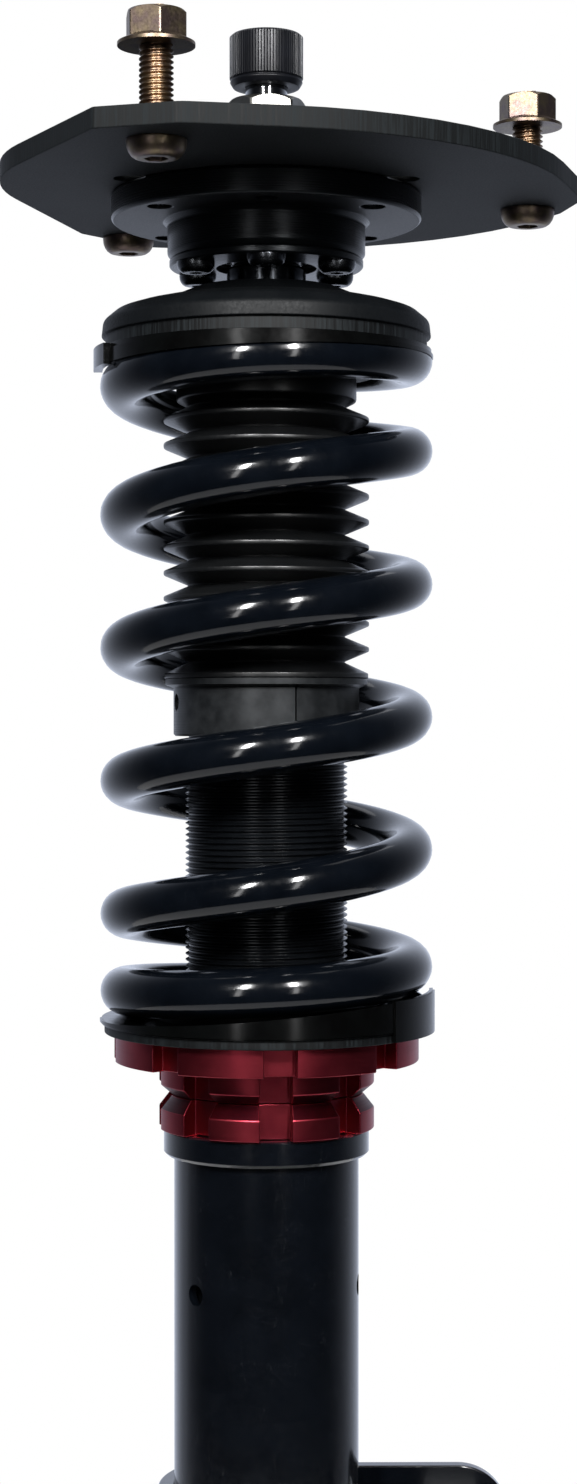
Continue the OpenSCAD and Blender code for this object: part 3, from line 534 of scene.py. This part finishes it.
def rounded(corners: list[tuple[float, float, float]], steps: int = 4) -> Profile:
    """Rounds the corners of a closed profile.

    Args:
        corners: Radius, height and rounding radius of each corner, in millimetres.
        steps: Segments in each rounding.

    Returns:
        Points of the closed profile.
    """
    out: Profile = []
    count = len(corners)
    most = 0.48  # share of a side that one rounding may take
    for i, (x, z, r) in enumerate(corners):
        here = Vector((x, z))
        to_last = Vector(corners[i - 1][:2]) - here
        to_next = Vector(corners[(i + 1) % count][:2]) - here
        half = to_last.angle(to_next) / 2
        reach = min(r / math.tan(half), to_last.length * most, to_next.length * most)
        if r == 0 or reach < 1e-6:
            out.append((x, z))
            continue
        start = here + to_last.normalized() * reach
        end = here + to_next.normalized() * reach
        for k in range(steps + 1):
            t = k / steps
            p = start * (1 - t) ** 2 + here * 2 * t * (1 - t) + end * t**2
            out.append((p.x, p.y))
    return out


def lathe(
    profile: Profile,
    segments: int = 160,
    dent: Callable[[float, float, float], float] | None = None,
    into: bmesh.types.BMesh | None = None,
) -> bmesh.types.BMesh:
    """Turns a closed profile about the strut axis.

    Args:
        profile: Radius and height of each point, in millimetres.
        segments: Steps round the axis.
        dent: Radius taken away at a radius, a height and an angle in radians.
        into: Mesh to add to.

    Returns:
        The mesh.
    """
    bm = into or bmesh.new()
    rows = []
    for i in range(segments):
        a = 2 * math.pi * i / segments
        row = []
        for r, z in profile:
            reach = (r - (dent(r, z, a) if dent else 0.0)) * MM
            row.append(bm.verts.new((reach * math.cos(a), reach * math.sin(a), z * MM)))
        rows.append(row)
    for i, row in enumerate(rows):
        beside = rows[(i + 1) % segments]
        for j in range(len(profile)):
            k = (j + 1) % len(profile)
            bm.faces.new((row[j], beside[j], beside[k], row[k]))
    return bm


@dataclass
class Thread:
    """An outside thread, as one helical ridge. Sizes in millimetres.

    Attributes:
        crest_r: Radius over the crests.
        depth: Depth of the thread.
        pitch: Rise in one turn.
        low: Height of the lower end.
        high: Height of the upper end.
        bore_r: Radius of the bore, or 0 for a solid core.
        centre: Place of the axis across the strut.
        sides: Steps round the axis.
    """

    crest_r: float
    depth: float
    pitch: float
    low: float
    high: float
    bore_r: float = 0.0
    centre: tuple[float, float] = (0.0, 0.0)
    sides: int = 96

    def mesh(self, into: bmesh.types.BMesh | None = None) -> bmesh.types.BMesh:
        """Builds the closed threaded solid.

        Args:
            into: Mesh to add to.

        Returns:
            The mesh.
        """
        bm = bmesh.new()
        root_r = self.crest_r - self.depth
        top_r = self.crest_r
        ridge = [(0.0, root_r), (0.1, root_r), (0.42, top_r), (0.56, top_r), (0.88, root_r)]
        turns = math.ceil((self.high - self.low) / self.pitch) + 2
        columns = []
        for j in range(self.sides):
            a = 2 * math.pi * j / self.sides
            column = []
            for k in range(turns * len(ridge)):
                share, r = ridge[k % len(ridge)]
                z = self.low + self.pitch * (k // len(ridge) - 1 + share + j / self.sides)
                if not self.low < z < self.high:
                    z, r = min(max(z, self.low), self.high), root_r
                spot = (self.centre[0] + r * math.cos(a), self.centre[1] + r * math.sin(a), z)
                column.append(bm.verts.new(Vector(spot) * MM))
            columns.append(column)
        for j, column in enumerate(columns):
            last = j == self.sides - 1
            beside = columns[0][len(ridge) :] if last else columns[j + 1]
            for k in range(min(len(column), len(beside)) - 1):
                bm.faces.new((column[k], beside[k], beside[k + 1], column[k + 1]))
        bmesh.ops.remove_doubles(bm, verts=bm.verts, dist=0.001 * MM)
        if self.bore_r:
            self.hollow(bm)
        else:
            bmesh.ops.holes_fill(bm, edges=[e for e in bm.edges if e.is_boundary], sides=0)
        if into is None:
            return bm
        scratch = bpy.data.meshes.new("scratch")
        bm.to_mesh(scratch)
        bm.free()
        into.from_mesh(scratch)
        bpy.data.meshes.remove(scratch)
        return into

    def hollow(self, bm: bmesh.types.BMesh) -> None:
        """Closes the ends on to a bore.

        Args:
            bm: Mesh of the open thread.
        """
        circles = []
        for z in (self.low, self.high):
            rim = [e for e in bm.edges if e.is_boundary and abs(e.verts[0].co.z / MM - z) < 0.01]
            ring = []
            for j in range(self.sides):
                a = 2 * math.pi * j / self.sides
                spot = Vector((self.bore_r * math.cos(a), self.bore_r * math.sin(a), z))
                ring.append(bm.verts.new(spot * MM))
            hoop = [bm.edges.new((ring[j], ring[(j + 1) % self.sides])) for j in range(self.sides)]
            bmesh.ops.bridge_loops(bm, edges=rim + hoop)
            circles.append(hoop)
        bmesh.ops.bridge_loops(bm, edges=circles[0] + circles[1])


@dataclass
class NotchedRing:
    """A ring with spanner notches all round. Sizes in millimetres.

    Attributes:
        layers: Outer radius and height of each step, from the bottom up.
        floor_r: Radius at the notch floors.
        bore_r: Radius of the bore.
        notches: Number of notches.
        width: Width of a notch.
        first: Direction of the first notch in degrees.
        arc: Steps along the rim between two notches.
    """

    layers: Profile
    floor_r: float
    bore_r: float
    notches: int = 8
    width: float = 8.0
    first: float = -84.9
    arc: int = 14

    def outline(self, radius: float) -> Profile:
        """Returns the outline at one outer radius, with straight-sided notches."""
        half = self.width / 2
        points = []
        for k in range(self.notches):
            middle = math.radians(self.first) + 2 * math.pi * k / self.notches
            out = Vector((math.cos(middle), math.sin(middle)))
            side = Vector((-out.y, out.x))
            rim = math.asin(half / radius)
            depth = math.sqrt(self.floor_r**2 - half**2)
            for s in (-1, 1):
                edge = out * math.sqrt(radius**2 - half**2) + side * half * s
                foot = out * depth + side * half * s
                points += [tuple(edge), tuple(foot)] if s < 0 else [tuple(foot), tuple(edge)]
            span = 2 * math.pi / self.notches - 2 * rim
            for j in range(1, self.arc):
                a = middle + rim + span * j / self.arc
                points.append((radius * math.cos(a), radius * math.sin(a)))
        return points

    def mesh(self, edge_mm: float = 0.3) -> bmesh.types.BMesh:
        """Builds the ring and breaks its edges.

        Args:
            edge_mm: Width of the broken edges.

        Returns:
            The mesh.
        """
        bm = bmesh.new()
        outer = [
            [bm.verts.new((x * MM, y * MM, z * MM)) for x, y in self.outline(r)]
            for r, z in self.layers
        ]
        count = len(outer[0])
        inner = []
        for z in (self.layers[0][1], self.layers[-1][1]):
            scale = [self.bore_r * MM / v.co.xy.length for v in outer[0]]
            inner.append(
                [bm.verts.new((v.co.x * s, v.co.y * s, z * MM)) for v, s in zip(outer[0], scale)]
            )
        loops = [inner[0], *outer, inner[1]]
        for i, loop in enumerate(loops):
            above = loops[(i + 1) % len(loops)]
            for j in range(count):
                k = (j + 1) % count
                bm.faces.new((loop[j], loop[k], above[k], above[j]))
        bmesh.ops.recalc_face_normals(bm, faces=bm.faces)
        bmesh.ops.dissolve_limit(bm, angle_limit=math.radians(0.5), verts=bm.verts, edges=bm.edges)
        break_edges(bm, edge_mm)
        return bm


# ---------------------------------------------------------------- sub-assemblies


@dataclass
class TopPlate:
    """The plate that bolts under the tower, with its bolts and nuts."""

    bolt_circle_r: float = 70.0
    bolt_angles: tuple[float, ...] = (-111.0, 14.4, 122.8)
    thread_r: float = 3.98
    thread_depth: float = 0.62
    thread_pitch: float = 1.25
    thread_sides: int = 40
    bolt_top: float = 25.0
    thread_under: float = -5.5
    shank_under: float = -4.0
    edge_mm: float = 0.35

    def build(self) -> None:
        """Builds the plate, bolts, threads and nuts, and dresses them."""
        upright = 0.3  # a face whose normal rises less than this stands along the strut
        eased("top_plate", PLATE_COAT, self.edge_mm, PLATE_EDGE, lambda f: abs(f.normal.z) < upright)
        eased("plate_bolts", ZINC_PASSIVATE, self.edge_mm, drop=lambda p: p.z > self.shank_under)
        eased("tower_nuts", ZINC_PASSIVATE, 0.3)
        threads = bmesh.new()
        for angle in self.bolt_angles:
            a = math.radians(angle)
            centre = (self.bolt_circle_r * math.cos(a), self.bolt_circle_r * math.sin(a))
            Thread(
                self.thread_r,
                self.thread_depth,
                self.thread_pitch,
                self.thread_under,
                self.bolt_top,
                centre=centre,
                sides=self.thread_sides,
            ).mesh(threads)
        place_piece("plate_bolt_threads", threads, [ZINC_THREAD], "top_mount")


@dataclass
class BearingMount:
    """The sliding bearing housing with its lid, screws and spherical bearing."""

    flange_face: float = -11.8

    def build(self) -> None:
        """Dresses the housing, its lid, its screws and the bearing."""
        face_z = self.flange_face

        def on_flange(face: Any) -> bool:
            """Says whether a face is the flange's blasted underside."""
            middle = face.calc_center_median() / MM
            return abs(middle.z - face_z) < 0.5 and face.normal.z < -0.9

        eased("bearing_housing", ANODISED_TURNED, 0.3, ANODISED_BLASTED, on_flange)
        eased("bearing_lid", ANODISED_TURNED, 0.2)
        eased("lid_screws", BLACK_OXIDE, 0.12)
        eased("camber_screws", BLACK_OXIDE, 0.2)
        eased("bearing_race", BEARING_STEEL, 0.2)
        eased("bearing_liner", LINER, 0.05)
        eased("bearing_ball", BEARING_STEEL, 0.2)


@dataclass
class RodGroup:
    """The rod with its spacers, nut, knob, upper seat and upper pad."""

    knob_under: float = 22.2
    knob_h: float = 13.2
    knob_r: float = 9.3
    knob_band: float = 1.9
    roof: float = 2.0
    tip_bore_r: float = 5.34
    vent_r: float = 0.4
    knurls: int = 78
    knurl_depth: float = 0.3
    knurl_rib: float = 0.62
    seat_top: float = -28.8
    seat_under: float = -44.3
    seat_hub_under: float = -50.3
    rim_r: float = 40.2
    dome_h: float = 12.4
    hub_r: float = 28.2
    bore_r: float = 6.04

    def knob(self) -> None:
        """Builds the straight-knurled knob."""
        low, high, r = self.knob_under, self.knob_under + self.knob_h, self.knob_r
        band = low + self.knob_band
        profile = rounded(
            [
                (self.tip_bore_r, low, 0.2),
                (r - 0.9, low, 0.3),
                (r - 0.05, band - 0.5, 0.4),
                (r - 0.55, band, 0.15),
                (r, band + 0.35, 0.1),
                (r, high - 0.6, 0.1),
                (r - 0.7, high, 0.2),
                (self.vent_r, high, 0),
                (self.vent_r, high - self.roof, 0),
                (self.tip_bore_r, high - self.roof, 0),
            ],
            3,
        )
        step = 2 * math.pi / self.knurls

        def groove(radius: float, z: float, a: float) -> float:
            """Returns the knurl's depth at a point of the knob."""
            if z < band + 0.2 or radius < r - 0.75:
                return 0.0
            return self.knurl_depth if (a % step) / step > self.knurl_rib else 0.0

        place_piece(
            "knob_knurled",
            lathe(profile, self.knurls * 5, groove),
            [KNOB_ANODISED],
            "knob",
            ("adjuster_knob",),
        )

    def seat(self) -> None:
        """Builds the domed upper spring seat with its scraped rim."""
        top, under = self.seat_top, self.seat_under
        profile = rounded(
            [
                (self.bore_r, top, 0.2),
                (18.6, top, 2.0),
                (26.4, top - 3.3, 3.0),
                (30.8, top - 4.0, 3.0),
                (34.6, top - 4.9, 3.0),
                (38.1, top - 6.0, 3.0),
                (41.2, top - 8.6, 2.2),
                (41.6, top - 12.2, 0.3),
                (40.6, top - 12.5, 0.15),
                (40.6, under, 0.3),
                (self.hub_r, under, 0.4),
                (self.hub_r, self.seat_hub_under, 0.8),
                (self.bore_r, self.seat_hub_under, 0.2),
            ],
            6,
        )
        bm = lathe(profile, 192)
        for face in bm.faces:
            middle = face.calc_center_median() / MM
            on_rim = middle.xy.length > self.rim_r and under + 0.2 < middle.z < top - self.dome_h
            face.material_index = int(on_rim)
        finishes = [SEAT_POWDER, SEAT_RIM]
        place_piece("upper_seat_domed", bm, finishes, "rod", ("upper_seat",))

    def build(self) -> None:
        """Builds the knob and seat, and dresses the rest of the group."""
        self.knob()
        self.seat()
        eased("knob_grub_screw", BLACK_OXIDE, 0.1)
        eased("rod_nut", BRIGHT_ZINC, 0.25)
        eased("piston_rod", HARD_CHROME, 0.3)
        eased("upper_spacer", BRIGHT_ZINC, 0.3)
        eased("lower_spacer", DARK_CHROME, 0.3)
        eased("upper_isolator", PAD_RUBBER, 0.25)
        eased("bump_stop", BUMP_FOAM, 0.8)
        eased("adjuster_needle", BRONZE, 0.1)
        for node in ("piston", "rebound_shims", "compression_shims", "piston_nut"):
            eased(node, SINTERED_STEEL, 0.15)
        eased("piston_band", BRONZE, 0.1)


@dataclass
class CoilSpring:
    """The coil spring: closed and ground ends with open turns between them.

    Lengths are in millimetres. The closed and blend spans are counts of turns, lift is the gap
    under the lower tip, ground the share of the wire ground off above, and skin the clearance
    that the flats keep from the pads.
    """

    wire_d: float = 12.0
    coil_r: float = 36.0
    turns: float = 6.32
    low_z: float = -212.5
    high_z: float = -46.5
    closed_pitch: float = 12.5
    low_closed: float = 0.92
    low_blend: float = 0.5
    top_blend: float = 0.3
    top_closed: float = 0.7
    first_angle: float = 1.5
    rings: int = 56
    sides: int = 28
    end_rings: int = 75
    lift: float = 0.4
    ground: float = 0.31
    skin: float = 0.05

    def rise(self, t: float) -> float:
        """Returns the height gained after t turns from the lower tip."""
        full_turns = self.turns - self.low_closed - self.low_blend - self.top_blend - self.top_closed
        total = self.high_z - self.low_z - self.lift + self.wire_d * self.ground
        blends = (self.low_blend + self.top_blend) / 2
        closed = self.closed_pitch * (self.low_closed + self.top_closed + blends)
        pitch = (total - closed) / (full_turns + blends)
        gained = 0.0
        for span, start, end in (
            (self.low_closed, self.closed_pitch, self.closed_pitch),
            (self.low_blend, self.closed_pitch, pitch),
            (full_turns, pitch, pitch),
            (self.top_blend, pitch, self.closed_pitch),
            (self.top_closed, self.closed_pitch, self.closed_pitch),
        ):
            part = min(max(t, 0.0), span)
            gained += start * part + (end - start) * part * part / (2 * span)
            t -= span
        return gained

    def sweep(self, first: int, last: int) -> tuple[bmesh.types.BMesh, float]:
        """Sweeps a length of the wire.

        Args:
            first: Ring that it starts at, counted from the lower tip.
            last: Ring that it ends at.

        Returns:
            The mesh and the height of the wire's centre at its last ring.
        """
        bm = bmesh.new()
        wire = self.wire_d / 2
        lowest, highest = self.low_z + self.skin, self.high_z - self.skin
        rows = []
        for i in range(first, last + 1):
            t = self.turns * i / round(self.turns * self.rings)
            a = math.radians(self.first_angle + 360 * t)
            z = self.low_z + self.lift + self.rise(t)
            row = []
            for j in range(self.sides):
                w = 2 * math.pi * j / self.sides
                reach = self.coil_r + wire * math.cos(w)
                height = min(max(z + wire * math.sin(w), lowest), highest)
                spot = Vector((reach * math.cos(a), reach * math.sin(a), height))
                row.append(bm.verts.new(spot * MM))
            rows.append(row)
        for row, above in zip(rows, rows[1:]):
            for j in range(self.sides):
                k = (j + 1) % self.sides
                bm.faces.new((row[j], row[k], above[k], above[j]))
        bm.faces.new(rows[0])
        bm.faces.new(rows[-1])
        return bm, z

    def build(self) -> None:
        """Winds the spring in two pieces: its end coil, which sits on the perch and is attached to no
        body, and the rest, which rides on the rod.
        """
        bm, split_z = self.sweep(0, self.end_rings)
        end = place_piece("spring_end_coil", bm, [SPRING_POWDER], "")
        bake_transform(end)
        bm, _ = self.sweep(self.end_rings, round(self.turns * self.rings))
        spring = place_piece("spring_wound", bm, [SPRING_POWDER], "rod", ("spring",))
        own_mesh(spring)


@dataclass
class DustBoot:
    """The ribbed boot and the collar that clamps its skirt to the body."""

    top: float = -50.4
    under: float = -126.95
    cup_h: float = 8.2
    skirt_h: float = 4.1
    ribs: int = 10
    rib_r: float = 26.0
    fold_r: float = 19.6
    cup_r: float = 22.8
    skirt_r: float = 25.8
    wall: float = 1.56

    def build(self) -> None:
        """Builds the boot and dresses its collar."""
        pitch = (self.top - self.cup_h - self.under - self.skirt_h) / self.ribs
        outer = [(self.cup_r, self.top, 0.3), (self.cup_r, self.top - self.cup_h * 0.8, 0.8)]
        for k in range(self.ribs):
            z = self.top - self.cup_h - k * pitch
            outer += [
                (self.fold_r, z, 0.25),
                (self.rib_r, z - pitch * 0.42, 0.5),
                (self.rib_r, z - pitch * 0.58, 0.5),
            ]
        outer += [
            (self.fold_r, self.under + self.skirt_h, 0.25),
            (self.skirt_r, self.under + 1.2, 0.4),
            (self.skirt_r, self.under, 0.2),
        ]
        inner = [(r - self.wall, z, 0.2) for r, z, _ in reversed(outer)]
        bm = lathe(rounded(outer + inner, 4))
        boot = place_piece("boot_ribbed", bm, [BOOT_RUBBER], "rod", ("dust_boot",))
        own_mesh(boot)
        eased("boot_collar", COLLAR_ANODISED, 0.25)
        eased("collar_grub_screw", BLACK_OXIDE, 0.1)


@dataclass
class DamperBody:
    """The damper body with its rolled thread, and what is inside it."""

    crest_r: float = 20.5
    pitch: float = 1.5
    thread_depth: float = 0.85
    thread_low: float = -276.0
    thread_high: float = -141.0
    top: float = -128.8
    bore_r: float = 17.0
    valve_bore_r: float = 4.06
    base_t: float = 12.0
    sides: int = 128

    def build(self) -> None:
        """Builds the threaded body and dresses the inner pieces."""
        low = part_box("damper_body")[0].z / MM
        bm = Thread(
            self.crest_r,
            self.thread_depth,
            self.pitch,
            self.thread_low,
            self.thread_high,
            self.bore_r,
            sides=self.sides,
        ).mesh()
        core = self.crest_r - self.thread_depth
        neck = [
            (self.bore_r, self.thread_high, 0),
            (core, self.thread_high, 0),
            (core, self.top - 0.8, 0.1),
            (core - 0.8, self.top, 0.1),
            (self.bore_r, self.top, 0.1),
        ]
        base_top = low + self.base_t
        base = [
            (self.valve_bore_r, low, 0.1),
            (core - 0.6, low, 0.3),
            (core, low + 0.6, 0.3),
            (core, self.thread_low, 0),
            (self.bore_r, self.thread_low, 0),
            (self.bore_r, base_top, 0.5),
            (self.valve_bore_r, base_top, 0.1),
        ]
        for corners in (neck, base):
            lathe(rounded(corners), self.sides, into=bm)
        place_piece("body_threaded", bm, [THREAD_ANODISED], "damper", ("damper_body",))
        for node in ("rod_guide", "gas_valve"):
            eased(node, BRONZE, 0.2)
        for node in ("rod_seal", "rod_wiper", "guide_o_ring", "floating_piston_ring"):
            eased(node, NITRILE, 0.1)
        for node in ("retaining_ring", "floating_piston"):
            eased(node, SINTERED_STEEL, 0.15)


@dataclass
class SpringPerch:
    """The lower seat, its pad and the red rings that carry it."""

    perch_r: float = 38.6
    lock_r: float = 27.3
    waist_r: float = 24.5
    bore_r: float = 20.56
    perch_low: float = -223.3
    perch_high: float = -216.3
    upper_low: float = -231.4
    upper_high: float = -223.4
    lower_low: float = -240.4
    lower_high: float = -231.6
    perch_notch: float = 3.6
    lock_notch: float = 4.3
    upper_chamfer: float = 2.4
    lower_chamfer: float = 3.6
    seat_rim_r: float = 40.5
    edge_mm: float = 0.28
    shaded_chamfer_mm2: float = 1.2

    def ring(self, name: str, layers: Profile, floor_r: float, node: str) -> None:
        """Builds one red ring, its wide sloping chamfers in a darker red that paints their shade.

        Args:
            name: Name of the piece.
            layers: Outer radius and height of each step.
            floor_r: Radius at the notch floors.
            node: The CAD node it stands for.
        """
        bm = NotchedRing(layers, floor_r, self.bore_r).mesh(self.edge_mm)
        # Wide sloping faces, the chamfers at the waist, take the darker red of painted shade
        for face in bm.faces:
            face.normal_update()
            slope = abs(face.normal.z)
            wide = face.calc_area() > self.shaded_chamfer_mm2 * MM * MM
            face.material_index = int(0.3 < slope < 0.9 and wide)
        finishes = [RED_ANODISED, RED_CHAMFER_PAINTED_SHADE]
        place_piece(name, bm, finishes, body_of(node), (node,), weighted=True)

    def build(self) -> None:
        """Builds the rings and dresses the seat and pad."""
        self.ring(
            "perch_ring_notched",
            [(self.perch_r, self.perch_low), (self.perch_r, self.perch_high)],
            self.perch_r - self.perch_notch,
            "perch_ring",
        )
        floor_r = self.lock_r - self.lock_notch
        self.ring(
            "upper_lock_ring_notched",
            [
                (self.waist_r, self.upper_low),
                (self.lock_r, self.upper_low + self.upper_chamfer),
                (self.lock_r, self.upper_high),
            ],
            floor_r,
            "upper_lock_ring",
        )
        self.ring(
            "lower_lock_ring_notched",
            [
                (self.lock_r, self.lower_low),
                (self.lock_r, self.lower_high - self.lower_chamfer),
                (self.waist_r, self.lower_high),
            ],
            floor_r,
            "lower_lock_ring",
        )
        rim_r = self.seat_rim_r * MM
        eased(
            "lower_seat",
            SEAT_POWDER,
            0.3,
            SEAT_RIM,
            lambda face: face.calc_center_median().xy.length > rim_r,
        )
        eased("lower_isolator", PAD_RUBBER, 0.25)


@dataclass
class LowerCasing:
    """The casing tube with its knuckle bracket and base plug."""

    edge_mm: float = 0.5

    def build(self) -> None:
        """Dresses the casing, the bracket and the plug."""
        for node in ("casing", "knuckle_bracket", "base_plug"):
            eased(node, CASING_POWDER, self.edge_mm)


@dataclass
class Studio:
    """Pale floor, soft light and the camera. Lengths in metres."""

    camera_at: tuple[float, float, float] = (0.0, -0.669, -0.1362)
    focal_px: float = 2640.0
    frame_px: tuple[int, int] = (577, 1484)
    axis_px: tuple[float, float] = (266.4, 715.0)
    sensor_mm: float = 36.0
    window_y: float = -0.72
    window_side: float = 0.23
    window_up: float = 0.3
    window_size: tuple[float, float] = (0.065, 0.26)
    window_watts: float = 1.3
    low_side: float = 0.25
    low_up: float = -0.09
    low_size: tuple[float, float] = (0.05, 0.42)
    low_watts: float = 0.09
    overhead_at: tuple[float, float, float] = (0.0, 0.5, 1.3)
    overhead_size: tuple[float, float] = (1.4, 1.4)
    overhead_watts: float = 4.0
    floor_r: float = 0.28
    paper: float = 0.85
    sky_colour: str = "#e2ebff"
    sky_front: float = -0.4
    sky_falloff: float = 2.6
    sky_least: float = 0.012

    def camera(self) -> None:
        """Places the camera so that the strut axis falls where it should in the frame."""
        wide, tall = self.frame_px
        lens = self.focal_px * self.sensor_mm / tall
        aim = Vector(
            (
                (wide / 2 - self.axis_px[0]) / self.focal_px,
                1.0,
                -(tall / 2 - self.axis_px[1]) / self.focal_px,
            )
        )
        data = bpy.data.cameras.new("camera")
        data.lens = lens
        data.sensor_width = self.sensor_mm
        data.clip_start = 0.01
        data.clip_end = 50
        camera = bpy.data.objects.new("camera", data)
        camera.location = self.camera_at
        camera.rotation_mode = "QUATERNION"
        camera.rotation_quaternion = aim.to_track_quat("-Z", "Y")
        bpy.context.scene.collection.objects.link(camera)
        bpy.context.scene.camera = camera

    def light(
        self,
        name: str,
        at: tuple[float, float, float],
        size: tuple[float, float],
        watts: float,
        to: float,
        spread: float = 180.0,
    ) -> None:
        """Adds one soft area light.

        Args:
            name: Name of the light.
            at: Its place.
            size: Width and height.
            watts: Its power.
            to: Height on the strut axis that it points at.
            spread: Angle that its light fans out to, in degrees.
        """
        data = bpy.data.lights.new(name, "AREA")
        data.shape = "RECTANGLE"
        data.size, data.size_y = size
        data.energy = watts
        data.spread = math.radians(spread)
        lamp = bpy.data.objects.new(name, data)
        lamp.location = at
        lamp.rotation_mode = "QUATERNION"
        lamp.rotation_quaternion = (Vector((0, 0, to)) - Vector(at)).to_track_quat("-Z", "Y")
        bpy.context.scene.collection.objects.link(lamp)

    def floor(self) -> None:
        """Makes the pale round floor that the part stands on."""
        bm = bmesh.new()
        bmesh.ops.create_circle(bm, cap_ends=True, segments=96, radius=self.floor_r)
        mesh = bpy.data.meshes.new("floor")
        bm.to_mesh(mesh)
        bm.free()
        floor = bpy.data.objects.new("floor", mesh)
        floor.location.z = CAD_BOX[0].z
        bpy.context.scene.collection.objects.link(floor)
        paper = bpy.data.materials.new("pale paper")
        paper.use_nodes = True
        shader = paper.node_tree.nodes["Principled BSDF"]
        shader.inputs["Base Color"].default_value = (self.paper, self.paper, self.paper, 1)
        shader.inputs["Roughness"].default_value = 0.9
        mesh.materials.append(paper)

    def world(self) -> None:
        """Makes a white backdrop whose light on the part comes from behind and above it."""
        sky = bpy.data.worlds.new("studio")
        bpy.context.scene.world = sky
        sky.use_nodes = True
        tree = sky.node_tree
        where = add(tree, "TexCoord")
        axes = add(tree, "SeparateXYZ", {0: where.outputs["Generated"]})
        span = {"Value": axes.outputs["Y"], "From Min": self.sky_front, "From Max": 1.0}
        behind = add(tree, "MapRange", span)
        rising = add(tree, "Math", {0: behind.outputs[0], 1: self.sky_falloff}, operation="POWER")
        strength = add(tree, "Math", {0: rising.outputs[0], 1: self.sky_least}, operation="ADD")
        lit = tree.nodes["Background"]
        tree.links.new(strength.outputs[0], lit.inputs["Strength"])
        lit.inputs["Color"].default_value = linear(self.sky_colour)
        seen = add(tree, "Background", {"Color": (1, 1, 1, 1), "Strength": 1.0})
        direct = add(tree, "LightPath").outputs["Is Camera Ray"]
        pick = add(tree, "MixShader", {0: direct, 1: lit.outputs[0], 2: seen.outputs[0]})
        tree.links.new(pick.outputs[0], tree.nodes["World Output"].inputs["Surface"])

    def build(self) -> None:
        """Sets up the camera, lights, floor and world."""
        self.camera()
        self.floor()
        self.world()
        for name, side in (("left window", -1), ("right window", 1)):
            at = (side * self.window_side, self.window_y, self.window_up)
            self.light(name, at, self.window_size, self.window_watts, to=-0.12, spread=70)
            at = (side * self.low_side, self.window_y, self.low_up)
            name += " below the sill"
            self.light(name, at, self.low_size, self.low_watts, to=-0.14, spread=90)
        self.light("overhead", self.overhead_at, self.overhead_size, self.overhead_watts, to=-0.2)
        scene = bpy.context.scene
        scene.view_settings.view_transform = "Standard"
        scene.view_settings.look = "None"


def main() -> None:
    """Builds the studio and each sub-assembly in order."""
    logging.basicConfig(level=logging.INFO, format="%(message)s")
    for assembly in (
        Studio(),
        TopPlate(),
        BearingMount(),
        RodGroup(),
        CoilSpring(),
        DustBoot(),
        DamperBody(),
        SpringPerch(),
        LowerCasing(),
    ):
        assembly.build()
        log.info("built %s", type(assembly).__name__)


if __name__ == "__main__":
    main()
